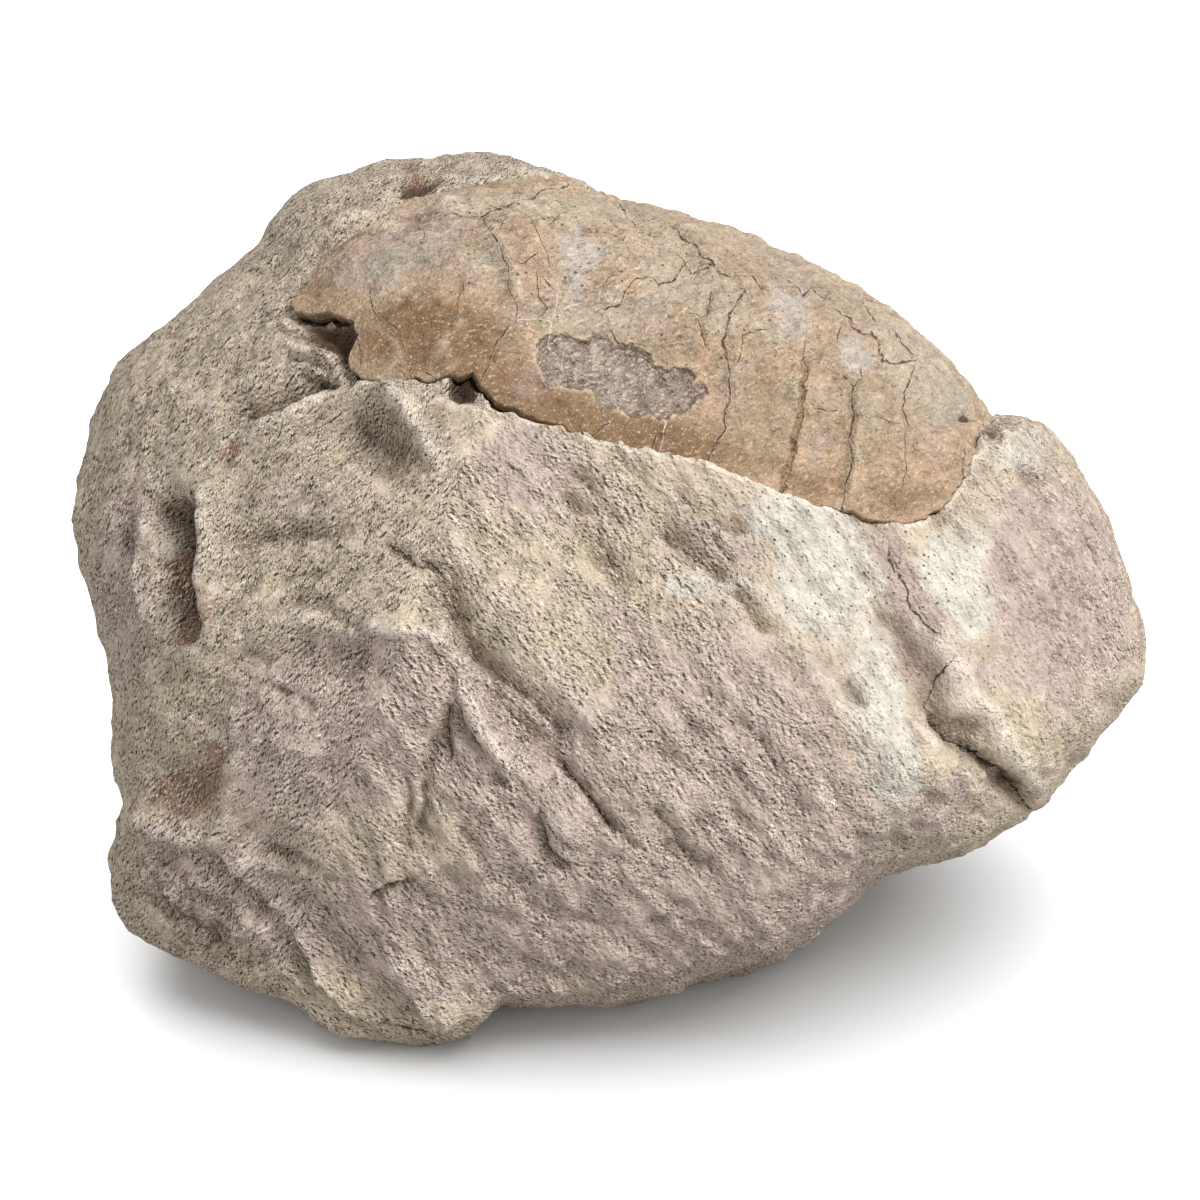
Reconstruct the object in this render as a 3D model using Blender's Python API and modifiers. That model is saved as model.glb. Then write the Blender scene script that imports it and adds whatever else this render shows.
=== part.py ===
"""Fossil tortoise in its rock: a bone shell bedded in the top of a broken block of siltstone.

The block is 0.3 m wide and stands on its flat base at z = 0, +Z up. X runs along its width and -Y is its
front. It has two pieces: matrix, the block with the filling that the bone lies on, and carapace, the bone.

How the shape is drawn. The front of the block is laid out in a slanted drawing plane that leans back
30 degrees, as the block is met from the front and a little above. A place there is (right, up) in
millimetres from the block's middle. A third axis, "out", comes out of that plane towards the front.
Every point of the surface lies in some direction from the middle. Its direction gives its place in the
drawing by way of the OUTLINE, and slanted planes, blended with a round, give its height along "out".
"""

import math

import bmesh
import bpy
import numpy as np

MM = 0.001

# Driving dimensions, in millimetres and degrees
MIDDLE_HEIGHT = 93.8  # the block's middle above its base
PLANE_LEAN = 30.0  # the drawing plane leans back by this much
SIGHT_DISTANCE = 1100.0  # outlines are drawn as met from this far off
FRONT_SWELL = 88.0  # how far the front rounds out from the rim
BACK_SWELL = 112.0
SWELL_POWER = 2.6  # 2 is an ellipse, more is squarer
RIM_OUT = 5.0  # the rim's height along "out" at the middle
RIM_SLOPE = -0.20  # and its change per millimetre up
FACE_ROUND = 9.0  # the round between two faces
BACK_ROUND = 18.0  # and at the back
BONE_THICKNESS = 5.8
BONE_BED = 7.0  # how deep the bone is let into the matrix
BONE_GAP = 1.0  # between the bone's edge and the matrix beside it

# Mesh sizes
TURNS = 72  # columns round the shell's crown
BED_RINGS = 10  # rings from the crown to the shell's edge
OUTER_RINGS = 33  # and from there to the middle of the base

# The block's outline in the drawing, anticlockwise from its right-hand end
OUTLINE = [
    (150, 0), (147, 15), (134, 40), (125, 48), (117, 50), (113, 50), (100, 66), (76, 86), (45, 102),
    (14, 112), (3, 114), (-13, 123), (-31, 127), (-54, 124), (-79, 120), (-85, 117), (-95, 101),
    (-115, 83), (-137, 68), (-143, 48), (-148, 23), (-144, 3), (-139, -17), (-137, -34), (-138, -49),
    (-135, -56), (-137, -77), (-135, -90), (-115, -102), (-87, -114), (-76, -123), (-66, -125),
    (-42, -126), (-34, -121), (-31, -114), (0, -115), (34, -107), (51, -102), (75, -83), (82, -77),
    (108, -68), (121, -60), (125, -56), (130, -48), (145, -32), (153, -23), (153, -14),
]  # fmt: skip

# Broken faces of the block: a place they pass through, their height along "out" there, and their
# slopes to the right and up
FRONT_FACES = [
    ((-76, -45), 77, 0.28, 0.22),  # the lower left lobe
    ((-110, 59), 40, 0.55, -0.45),  # the upper left slope
    ((23, -14), 79, -0.16, -0.32),  # the wide middle face
    ((10, -62), 80, -0.10, 0.24),  # the steeper face under it
    ((127, 11), 38, -0.75, -0.25),  # the right-hand end
    ((0, -93), 62, 0.0, 0.80),  # the undercut below the middle
    ((-118, -79), 45, 0.60, 0.75),  # the undercut at the lower left
]
BACK_FACES = [
    ((5, 40), -96, 0.05, 0.38),  # the back slope below the shell
    ((-20, -20), -104, -0.10, -0.25),  # the tall face low at the back
    ((-90, 40), -68, -0.65, 0.25),
    ((92, 20), -74, 0.70, 0.05),
    ((-75, 95), -50, -0.2, 0.5),  # the shoulder behind the shell's front corner
]

# The shell's edge. Its crown is given in degrees: from "out", and round from "right".
CROWN_TILT = 68.0
CROWN_TURN = 70.0
SHELL_EDGE = [
    (-4, 118), (-23, 120), (-37, 118), (-48, 116), (-56, 112), (-65, 107), (-73, 102), (-81, 95),
    (-85, 89), (-84, 84), (-79, 80), (-71, 75), (-72, 65), (-68, 63), (-56, 61), (-45, 60), (-34, 56),
    (-23, 50), (-3, 45), (14, 41), (30, 37), (51, 30), (68, 25), (85, 22), (94, 23), (103, 27),
    (106, 34), (110, 40), (113, 45),
]  # fmt: skip
SHELL_EDGE_BEHIND = [(111, 52), (102, 62), (87, 73), (69, 84), (48, 95), (28, 103), (11, 110)]

# Relief of the front: a line in the drawing, its half width and its height. A groove has a minus height.
RIDGES = {
    "left hollow": ([(-123, 27), (-119, 12), (-119, -6)], 6, -12),
    "rib beside it": ([(-112, 26), (-111, 8), (-113, -8)], 6, 3),
    "outer wall of it": ([(-132, 21), (-131, 8), (-128, -4)], 5, 4),
    "crest left of the spur": ([(-60, 61), (-68, 60), (-82, 56), (-92, 51), (-104, 45)], 4, 4),
    "trough above it": ([(-104, 52), (-94, 55), (-84, 59)], 4, -5),
    "spur": ([(-59, 60), (-56, 54), (-51, 45), (-47, 41)], 6, 7),
    "crest of the lobe": ([(-113, -14), (-99, -9), (-85, -6), (-68, -8), (-47, -11)], 6, 3),
    "slanting valley": ([(-44, 0), (-39, -11), (-27, -28), (-12, -45), (-7, -54), (4, -66)], 8, -7),
    "swelling above it": ([(-30, -5), (-20, -18), (-8, -28), (4, -38), (12, -52)], 11, 4),
    "crest below it": ([(-40, -25), (-35, -38), (-27, -48)], 5, 3),
    "valley beside the lobe": ([(-43, -20), (-44, -34), (-48, -46), (-52, -58), (-54, -71)], 5, -4),
    "upper groove": ([(-9, 33), (-6, 27), (0, 17), (6, 8)], 6, -4),
    "dent below the lip": ([(14, 21), (23, 15), (33, 10)], 6, -3),
    "end swelling": ([(132, 15), (127, 0), (127, -17)], 9, 3),
    "foot": ([(-58, -103), (-49, -108), (-43, -115)], 8, 4),
    "underside groove": ([(-96, -86), (-88, -92), (-81, -101), (-75, -106)], 6, -4),
}
# Ledges: the ground to the left of the line, walking along it, stands higher by the height
LEDGES = {
    "slope step": ([(-99, 17), (-89, 22), (-76, 23), (-60, 26)], 4, 4, 16),
    "side of the lobe": ([(-47, -10), (-42, -18), (-43, -30), (-46, -42)], 4, -3, 14),
    "undercut crest": ([(-60, -122), (-76, -108), (-88, -92), (-110, -77), (-135, -63)], 5, 7, 24),
    "right-hand step": ([(81, 12), (89, 1), (95, -20), (103, -33), (113, -41), (122, -60)], 4, 6, 18),
    "middle ledge": ([(16, -61), (20, -67), (25, -75), (29, -80)], 4, 4, 14),
    "lower ledge": ([(-14, -53), (-16, -64), (-15, -70), (-10, -76)], 4, 3, 12),
}
# Knobs and pits: centre, the two half widths, height and turn in degrees
KNOBS = {
    "bowl left of the spur": ((-66, 45), (14, 9), -6, -50),
    "hollow at the broken corner": ((-77, 63), (8, 4), -4, -12),
    "end bump": ((120, 46), (9, 7), 3, 0),
    "dent at the lower left": ((-118, -54), (10, 12), -5, 0),
    "dish in the right-hand step": ((107, -37), (5, 4), -3, -35),
}
LIP_LINE = [(-28, 53), (-23, 50), (-3, 45), (14, 41), (30, 37), (51, 30), (68, 25)]
LIP_HEIGHT = 3.2
LIP_WIDTH = 9.0
SHELL_KNOBS = {
    "bulge of the front plates": ((-42, 88), (26, 20), 1.6, 0),
    "worn hollow": ((27, 90), (9, 5), -2.6, -20),
    "stripped patch": ((14, 60), (20, 7), -2.0, 0),
    "rear swell": ((72, 58), (26, 22), 1.2, 0),
}

lean = math.radians(PLANE_LEAN)
RIGHT = np.array([1.0, 0.0, 0.0])
UP = np.array([0.0, math.sin(lean), math.cos(lean)])
OUT = np.array([0.0, -math.cos(lean), math.sin(lean)])
MIDDLE = np.array([0.0, 0.0, MIDDLE_HEIGHT])


def unit(vectors):
    return vectors / np.linalg.norm(vectors, axis=-1, keepdims=True)


def polar(points):
    """Angle in degrees and distance from the middle of each place in the drawing."""
    points = np.asarray(points, float)
    return np.degrees(np.arctan2(points[:, 1], points[:, 0])), np.hypot(points[:, 0], points[:, 1])


def outline_reach(angle, spread):
    """The outline's distance from the middle, averaged over a few degrees to each side."""
    corner_angle, corner_reach = polar(OUTLINE)
    offsets = np.linspace(-spread, spread, 7)
    reads = [np.interp(angle + offset, corner_angle, corner_reach, period=360) for offset in offsets]
    return np.mean(reads, axis=0)


def reach(angle, share):
    """Sharp near the rim, where share is 1, and smoothed inside, so that no crease runs inwards."""
    sharp = share**6
    return outline_reach(angle, 1.5) * sharp + outline_reach(angle, 11.0) * (1 - sharp)


def lowest(layers, rounding):
    """The lowest of several heights, with a round of this size where two of them cross."""
    low = layers[0]
    for layer in layers[1:]:
        mix = np.clip(0.5 + 0.5 * (layer - low) / rounding, 0, 1)
        low = layer * (1 - mix) + low * mix - rounding * mix * (1 - mix)
    return low


def face_height(face, drawn):
    place, height, slope_right, slope_up = face
    return height + slope_right * (drawn[:, 0] - place[0]) + slope_up * (drawn[:, 1] - place[1])


def bare_surface(direction):
    """World points of the smooth block in these directions (right, up, out), and their drawn places."""
    share = np.hypot(direction[:, 0], direction[:, 1])
    angle = np.degrees(np.arctan2(direction[:, 1], direction[:, 0]))
    drawn = direction[:, :2] * reach(angle, share)[:, None]
    swell = np.sqrt(np.clip(1 - share**SWELL_POWER, 0, 1))
    rim = RIM_OUT + RIM_SLOPE * drawn[:, 1]
    front = [rim + FRONT_SWELL * swell] + [face_height(face, drawn) for face in FRONT_FACES]
    back = [BACK_SWELL * swell - rim] + [-face_height(face, drawn) for face in BACK_FACES]
    out = np.where(direction[:, 2] >= 0, lowest(front, FACE_ROUND), -lowest(back, BACK_ROUND))
    # Drawn places spread with distance, so what lies nearer the front is drawn in to match.
    across = drawn * (1 - out / SIGHT_DISTANCE)[:, None]
    return MIDDLE + across[:, :1] * RIGHT + across[:, 1:] * UP + out[:, None] * OUT, drawn


def outward(direction, step=0.02):
    """Unit normals of the smooth block, from four points close by."""
    helper = np.where(np.abs(direction[:, 1:2]) < 0.9, [[0.0, 1.0, 0.0]], [[1.0, 0.0, 0.0]])
    first = unit(np.cross(direction, helper))
    second = np.cross(direction, first)
    ends = [bare_surface(unit(direction + step * way))[0] for way in (first, -first, second, -second)]
    return unit(np.cross(ends[0] - ends[1], ends[2] - ends[3]))


def from_drawing(points, behind=False):
    """Directions whose drawn places are these points, on the front or on the back of the block."""
    angle, distance = polar(points)
    share = np.full(len(distance), 0.8)
    for _ in range(12):
        share = np.clip(distance / reach(angle, share), 0, 0.9999)
    turn = np.radians(angle)
    out = np.sqrt(1 - share**2) * (-1 if behind else 1)
    return np.stack([share * np.cos(turn), share * np.sin(turn), out], axis=1)


tilt, turn = math.radians(CROWN_TILT), math.radians(CROWN_TURN)
CROWN = np.array([math.sin(tilt) * math.cos(turn), math.sin(tilt) * math.sin(turn), math.cos(tilt)])
TO_FRONT = unit(np.array([0.0, 0.0, 1.0]) - CROWN * CROWN[2])
TO_SIDE = np.cross(CROWN, TO_FRONT)


def about_crown(away, around):
    """The direction at `away` degrees from the crown, `around` degrees round it from the front."""
    away, around = np.radians(away)[:, None], np.radians(around)[:, None]
    return np.cos(away) * CROWN + np.sin(away) * (np.cos(around) * TO_FRONT + np.sin(around) * TO_SIDE)


def shell_edge(around, spread=2.0):
    """Degrees from the crown to the shell's edge, averaged over `spread` degrees to each side."""
    corners = np.concatenate([from_drawing(SHELL_EDGE), from_drawing(SHELL_EDGE_BEHIND, behind=True)])
    corner_away = np.degrees(np.arccos(corners @ CROWN))
    corner_around = np.degrees(np.arctan2(corners @ TO_SIDE, corners @ TO_FRONT))
    order = np.argsort(corner_around)
    table = corner_around[order], corner_away[order]
    reads = [np.interp(around + spread * way, *table, period=360) for way in np.linspace(-1, 1, 9)]
    return np.mean(reads, axis=0)


def line_distance(drawn, line):
    """Distance to a line of straight runs, the side of it (+1 is left), and how far along it, 0 to 1."""
    line = np.array(line, float)
    runs = np.diff(line, axis=0)
    lengths = np.hypot(runs[:, 0], runs[:, 1])
    starts = np.concatenate([[0], np.cumsum(lengths)])
    nearest = np.full(len(drawn), np.inf)
    side = np.zeros(len(drawn))
    along = np.zeros(len(drawn))
    for start, run, length, before in zip(line, runs, lengths, starts):
        rest = drawn - start
        share = np.clip(rest @ run / length**2, 0, 1)
        gap = np.linalg.norm(rest - share[:, None] * run, axis=1)
        closer = gap < nearest
        nearest = np.where(closer, gap, nearest)
        side = np.where(closer, np.sign(run[0] * rest[:, 1] - run[1] * rest[:, 0]), side)
        along = np.where(closer, (before + share * length) / starts[-1], along)
    return nearest, side, along


def ridge(drawn, line, width, height):
    """A rounded ridge along a line: a bell curve of the distance to it."""
    return height * np.exp(-((line_distance(drawn, line)[0] / width) ** 2))


def ledge(drawn, line, width, height, fade):
    """A step along a line that fades out beside it and towards its ends."""
    distance, side, along = line_distance(drawn, line)
    ends = np.clip(1.8 * np.sin(math.pi * along), 0, 1)
    return 0.5 * height * np.tanh(side * distance / width) * np.exp(-((distance / fade) ** 2)) * ends


def knob(drawn, centre, widths, height, turned):
    """A rounded knob or pit with an oval plan."""
    turn = math.radians(turned)
    rest = drawn - np.array(centre)
    long = rest @ np.array([math.cos(turn), math.sin(turn)])
    short = rest @ np.array([-math.sin(turn), math.cos(turn)])
    return height * np.exp(-((long / widths[0]) ** 2) - (short / widths[1]) ** 2)


def scatter(cell, seed):
    """A number from 0 to 1 for each whole-numbered cell, the same each run."""
    mixed = (cell @ np.array([374761393, 668265263, 1274126177]) + seed * 974711) & 0xFFFFFFFF
    mixed = ((mixed ^ (mixed >> 13)) * 1103515245) & 0xFFFFFFFF
    mixed = ((mixed ^ (mixed >> 16)) * 2654435761) & 0xFFFFFFFF
    return ((mixed >> 8) & 0xFFFF) / 65535.0


def lumpiness(points, size, seed):
    """Smooth random swells about `size` millimetres apart, roughly from -1 to 1: gradient noise."""
    scaled = points / size
    cell = np.floor(scaled).astype(np.int64)
    inside = scaled - cell
    fade = inside**3 * (inside * (inside * 6 - 15) + 10)
    total = np.zeros(len(points))
    for corner in np.ndindex(2, 2, 2):
        around = scatter(cell + corner, seed) * 2 * math.pi
        height = scatter(cell + corner, seed + 57) * 2 - 1
        width = np.sqrt(1 - height**2)
        gradient = np.stack([width * np.cos(around), width * np.sin(around), height], axis=1)
        weight = np.prod(np.where(corner, fade, 1 - fade), axis=1)
        total += weight * np.sum(gradient * (inside - corner), axis=1)
    return 1.6 * total


def terraces(height, rise):
    """Turns gentle swells into broken steps of this rise, with rounded edges."""
    steps = height / rise
    level = np.floor(steps)
    return rise * (level + np.clip((steps - level - 0.5) * 2.2 + 0.5, 0, 1))


def matrix_relief(direction, points, drawn):
    """Height of the rock's relief over the smooth block."""
    height = sum(ridge(drawn, *shape) for shape in RIDGES.values())
    height += sum(ledge(drawn, *shape) for shape in LEDGES.values())
    height += sum(knob(drawn, *shape) for shape in KNOBS.values())
    distance, _, along = line_distance(drawn, LIP_LINE)
    ends = np.clip(2 * np.sin(math.pi * np.clip(along, 0.02, 0.98)), 0, 1)
    height += LIP_HEIGHT * ends * np.exp(-((distance / LIP_WIDTH) ** 2))
    on_front = np.clip((direction[:, 2] + 0.12) / 0.2, 0, 1)
    return height * on_front + terraces(2.8 * lumpiness(points, 46, 1), 1.6) + 1.3 * lumpiness(points, 21, 2)


def shell_relief(drawn):
    """Height of the bone's broad swells and worn hollows, which its bed follows."""
    return sum(knob(drawn, *shape) for shape in SHELL_KNOBS.values())


def stand_on_base(points):
    """Draws what lies below the base in towards the middle, so that it lies flat in the base."""
    share = np.minimum(1, MIDDLE_HEIGHT / np.maximum(MIDDLE_HEIGHT - points[:, 2], 1e-6))
    points = MIDDLE + (points - MIDDLE) * share[:, None]
    points[:, 2] = np.where(share < 1, 0, points[:, 2])
    return points


def ball_rings(mesh, rings):
    """The ring number and the turn in degrees of each vertex of a unit UV sphere."""
    spots = np.array([vertex.co for vertex in mesh.verts])
    ring = np.round(np.degrees(np.arccos(np.clip(spots[:, 2], -1, 1))) / (180 / rings))
    turned = np.arctan2(spots[:, 1], spots[:, 0])
    # The columns stand closer together at the front.
    return ring, np.degrees(turned - 0.3 * np.sin(turned))


def move_vertices(mesh, points):
    for vertex, point in zip(mesh.verts, points):
        vertex.co = point * MM


def new_object(name, mesh, material, collection):
    data = bpy.data.meshes.new(name)
    mesh.to_mesh(data)
    mesh.free()
    data.materials.append(material)
    data.shade_smooth()
    data.set_sharp_from_angle(angle=math.radians(50))
    piece = bpy.data.objects.new(name, data)
    collection.objects.link(piece)
    return piece


def new_material(name, colour, roughness):
    material = bpy.data.materials.new(name)
    material.use_nodes = True
    shader = material.node_tree.nodes["Principled BSDF"]
    shader.inputs["Base Color"].default_value = (*colour, 1)
    shader.inputs["Roughness"].default_value = roughness
    return material


def make_matrix(collection):
    """A ball of rings about the shell's crown, let down under the shell and moved onto the block."""
    rings = BED_RINGS + 1 + OUTER_RINGS
    mesh = bmesh.new()
    bmesh.ops.create_uvsphere(mesh, u_segments=TURNS, v_segments=rings, radius=1)
    ring, around = ball_rings(mesh, rings)
    edge = shell_edge(around)
    beyond = np.clip((ring - BED_RINGS - 1) / OUTER_RINGS, 0, 1)
    # The ragged edge is smoothed away over the first rings outside it.
    calm_edge = edge + (shell_edge(around, 14) - edge) * np.clip(beyond * 5, 0, 1)
    outside = calm_edge + (180 - calm_edge) * beyond**1.2
    away = np.where(ring <= BED_RINGS, edge * ring / BED_RINGS, outside)
    direction = about_crown(away, around)
    points, drawn = bare_surface(direction)
    rock_height = matrix_relief(direction, points, drawn)
    height = np.where(ring <= BED_RINGS, shell_relief(drawn) - BONE_BED, rock_height)
    points = stand_on_base(points + outward(direction) * height[:, None])
    move_vertices(mesh, points)
    stone = new_material("siltstone", (0.52, 0.46, 0.39), 0.9)
    return new_object("matrix", mesh, stone, collection)


def make_carapace(collection):
    """The top rings of such a ball, an open cap that Solidify thickens inwards to the bone's thickness."""
    mesh = bmesh.new()
    bmesh.ops.create_uvsphere(mesh, u_segments=TURNS, v_segments=2 * BED_RINGS, radius=1)
    lower = [vertex for vertex in mesh.verts if vertex.co.z < -0.01]
    bmesh.ops.delete(mesh, geom=lower, context="VERTS")
    ring, around = ball_rings(mesh, 2 * BED_RINGS)
    edge = shell_edge(around)
    # Where the edge runs towards the crown, the gap across it takes more degrees.
    slant = (shell_edge(around + 2) - shell_edge(around - 2)) / (4 * np.sin(np.radians(edge)))
    away_from_middle = np.linalg.norm(bare_surface(about_crown(edge, around))[0] - MIDDLE, axis=1)
    gap = np.degrees(BONE_GAP / away_from_middle) * np.hypot(1, slant)
    direction = about_crown((edge - gap) * ring / BED_RINGS, around)
    points, drawn = bare_surface(direction)
    move_vertices(mesh, points + outward(direction) * shell_relief(drawn)[:, None])
    bone = new_material("fossil_bone", (0.50, 0.36, 0.24), 0.75)
    piece = new_object("carapace", mesh, bone, collection)
    wall = piece.modifiers.new("bone thickness", "SOLIDIFY")
    wall.thickness = BONE_THICKNESS * MM
    wall.offset = -1
    return piece


def main():
    for leftover in list(bpy.data.objects):
        bpy.data.objects.remove(leftover)
    collection = bpy.data.collections.new("fossil tortoise")
    bpy.context.scene.collection.children.link(collection)
    for make in (make_matrix, make_carapace):
        piece = make(collection)
        print(piece.name, "has", len(piece.data.vertices), "vertices")


main()
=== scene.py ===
# %% [markdown]
# # A fossil tortoise in its rock
# The real object is a broken block of pale siltstone, about 30 cm wide, with the domed shell of a
# tortoise turned to stone in its top. This lesson dresses two plain solids, the rock and the bone,
# with fine surfaces. Every surface here is a sum of simple formulas on a grid: the block's own form,
# the folds and ledges that a hand would point out, and random swells of smaller and smaller size.
# We start by loading the finished solids as a fixed frame, and keep their box to compare with later.

# %% Load the fixed frame
import math

import bpy
import numpy as np
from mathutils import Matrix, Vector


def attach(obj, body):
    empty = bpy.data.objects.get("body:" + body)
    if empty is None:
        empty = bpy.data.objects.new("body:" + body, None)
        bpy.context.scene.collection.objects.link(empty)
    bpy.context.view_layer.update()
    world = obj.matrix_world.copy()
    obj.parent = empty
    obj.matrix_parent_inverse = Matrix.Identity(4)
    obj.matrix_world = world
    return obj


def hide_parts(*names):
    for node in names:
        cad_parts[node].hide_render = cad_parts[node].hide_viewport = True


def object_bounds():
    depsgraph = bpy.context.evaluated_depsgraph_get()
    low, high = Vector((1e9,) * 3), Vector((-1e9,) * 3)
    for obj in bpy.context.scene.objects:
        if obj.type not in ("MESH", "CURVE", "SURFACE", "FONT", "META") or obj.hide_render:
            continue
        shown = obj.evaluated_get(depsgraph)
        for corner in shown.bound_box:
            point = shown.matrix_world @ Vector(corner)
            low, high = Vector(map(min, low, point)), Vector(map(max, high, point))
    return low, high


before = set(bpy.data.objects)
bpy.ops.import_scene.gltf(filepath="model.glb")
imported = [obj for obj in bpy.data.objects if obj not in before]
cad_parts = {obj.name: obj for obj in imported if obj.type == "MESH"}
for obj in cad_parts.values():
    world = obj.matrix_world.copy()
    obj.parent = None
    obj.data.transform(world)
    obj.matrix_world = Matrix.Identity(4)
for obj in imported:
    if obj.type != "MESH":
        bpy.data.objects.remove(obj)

MM = 0.001
cad_low, cad_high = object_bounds()
print("nodes:", sorted(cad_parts), "box in mm:", [round(side / MM) for side in cad_high - cad_low])

# %% [markdown]
# ## Where a place on the rock is
# The front of the block was laid out in a slanted drawing plane that leans back 30 degrees, as the
# block is met from the front and a little above. A place there is (right, up) in millimetres from the
# block's middle, and a third axis, "out", comes out of the plane towards the eye. The camera looks
# straight along that axis, so a crack can be given a place in the drawing and lands where it should.

# %% The drawing plane
MIDDLE_HEIGHT = 93.8
PLANE_LEAN = 30.0
SIGHT_DISTANCE = 1100.0
VIEW_WIDTH = 338.0

lean = math.radians(PLANE_LEAN)
RIGHT = np.array([1.0, 0.0, 0.0])
UP = np.array([0.0, math.sin(lean), math.cos(lean)])
OUT = np.array([0.0, -math.cos(lean), math.sin(lean)])
MIDDLE = np.array([0.0, 0.0, MIDDLE_HEIGHT])
print("the drawing's up and out:", UP.round(2), OUT.round(2))

# %% [markdown]
# ## The camera comes first
# A camera is a lens length and a place. Here the picture is square and shows 338 mm at the block's
# middle from 1.1 m away, so the lens follows from two like triangles. A long lens keeps the block's
# proportions calm, which is how specimens are usually shown.

# %% The camera
SENSOR_WIDTH = 36
# Nearest and farthest things that the camera sees, in metres
CLIP_START = 0.05
CLIP_END = 20
camera_data = bpy.data.cameras.new("camera")
camera_data.sensor_width = SENSOR_WIDTH
camera_data.lens = SENSOR_WIDTH * SIGHT_DISTANCE / VIEW_WIDTH
camera_data.clip_start = CLIP_START
camera_data.clip_end = CLIP_END
camera = bpy.data.objects.new("camera", camera_data)
camera.location = (MIDDLE + OUT * SIGHT_DISTANCE) * MM
camera.rotation_euler = (math.radians(90 - PLANE_LEAN), 0, 0)
bpy.context.scene.collection.objects.link(camera)
bpy.context.scene.camera = camera
print("lens length:", round(camera_data.lens, 1), "mm")

# %% [markdown]
# ## The block's bare form
# The solids were worked out from an outline and a dozen slanted planes, and the fine surface must
# lie on them, so the same values come first here. Each point of the surface lies in some direction
# from the middle. The direction gives its place in the drawing by way of the outline, and the lowest
# of the slanted planes, blended with a round, gives its height along "out".

# %% The block's driving sizes
FRONT_SWELL = 88.0
BACK_SWELL = 112.0
SWELL_POWER = 2.6
RIM_OUT = 5.0
RIM_SLOPE = -0.20
FACE_ROUND = 9.0
BACK_ROUND = 18.0
OUTLINE = [
    (150, 0), (147, 15), (134, 40), (125, 48), (117, 50), (113, 50), (100, 66), (76, 86), (45, 102),
    (14, 112), (3, 114), (-13, 123), (-31, 127), (-54, 124), (-79, 120), (-85, 117), (-95, 101),
    (-115, 83), (-137, 68), (-143, 48), (-148, 23), (-144, 3), (-139, -17), (-137, -34), (-138, -49),
    (-135, -56), (-137, -77), (-135, -90), (-115, -102), (-87, -114), (-76, -123), (-66, -125),
    (-42, -126), (-34, -121), (-31, -114), (0, -115), (34, -107), (51, -102), (75, -83), (82, -77),
    (108, -68), (121, -60), (125, -56), (130, -48), (145, -32), (153, -23), (153, -14),
]
# Broken faces: a place they pass through, their height along "out" there, and their two slopes
FRONT_FACES = [
    ((-76, -45), 77, 0.28, 0.22),
    ((-110, 59), 40, 0.55, -0.45),
    ((23, -14), 79, -0.16, -0.32),
    ((10, -62), 80, -0.10, 0.24),
    ((127, 11), 38, -0.75, -0.25),
    ((0, -93), 62, 0.0, 0.80),
    ((-118, -79), 45, 0.60, 0.75),
]
BACK_FACES = [
    ((5, 40), -96, 0.05, 0.38),
    ((-20, -20), -104, -0.10, -0.25),
    ((-90, 40), -68, -0.65, 0.25),
    ((92, 20), -74, 0.70, 0.05),
    ((-75, 95), -50, -0.2, 0.5),
]
# Degrees over which the outline is averaged, at the rim and inside it, and how near the rim it turns sharp
RIM_SPREAD = 1.5
INNER_SPREAD = 11.0
RIM_SHARPNESS = 6
print("outline corners:", len(OUTLINE), "broken faces:", len(FRONT_FACES) + len(BACK_FACES))


# %% From a direction to a place on the bare block
def unit(vectors):
    """Each vector divided by its own length."""
    return vectors / np.linalg.norm(vectors, axis=-1, keepdims=True)


def polar(points):
    """Angle in degrees and distance from the middle of each place in the drawing."""
    points = np.asarray(points, float)
    return np.degrees(np.arctan2(points[:, 1], points[:, 0])), np.hypot(points[:, 0], points[:, 1])


def spread_mean(angle, spread, count, table):
    """A table of angles and values, read at `count` angles within `spread` to each side, and averaged."""
    offsets = np.linspace(-spread, spread, count)
    return np.mean([np.interp(angle + offset, *table, period=360) for offset in offsets], axis=0)


def reach(angle, share):
    """The outline's distance from the middle: sharp near the rim, where share is 1, and smoothed inside."""
    sharp = share**RIM_SHARPNESS
    near_rim = spread_mean(angle, RIM_SPREAD, 7, polar(OUTLINE))
    return near_rim * sharp + spread_mean(angle, INNER_SPREAD, 7, polar(OUTLINE)) * (1 - sharp)


def lowest(layers, rounding):
    """The lowest of several heights, with a round of this size where two of them cross."""
    low = layers[0]
    for layer in layers[1:]:
        mix = np.clip(0.5 + 0.5 * (layer - low) / rounding, 0, 1)
        low = layer * (1 - mix) + low * mix - rounding * mix * (1 - mix)
    return low


def face_height(face, drawn):
    """A slanted plane: its height at a place, plus each slope times the way gone from there."""
    place, height, slope_right, slope_up = face
    return height + slope_right * (drawn[:, 0] - place[0]) + slope_up * (drawn[:, 1] - place[1])


def bare_surface(direction):
    """World points of the smooth block in these directions (right, up, out), and their drawn places."""
    share = np.hypot(direction[:, 0], direction[:, 1])
    angle = np.degrees(np.arctan2(direction[:, 1], direction[:, 0]))
    drawn = direction[:, :2] * reach(angle, share)[:, None]
    swell = np.sqrt(np.clip(1 - share**SWELL_POWER, 0, 1))
    rim = RIM_OUT + RIM_SLOPE * drawn[:, 1]
    front = [rim + FRONT_SWELL * swell] + [face_height(face, drawn) for face in FRONT_FACES]
    back = [BACK_SWELL * swell - rim] + [-face_height(face, drawn) for face in BACK_FACES]
    out = np.where(direction[:, 2] >= 0, lowest(front, FACE_ROUND), -lowest(back, BACK_ROUND))
    # Drawn places spread with distance, so what lies nearer the front is drawn in to match.
    across = drawn * (1 - out / SIGHT_DISTANCE)[:, None]
    return MIDDLE + across[:, :1] * RIGHT + across[:, 1:] * UP + out[:, None] * OUT, drawn


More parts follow.
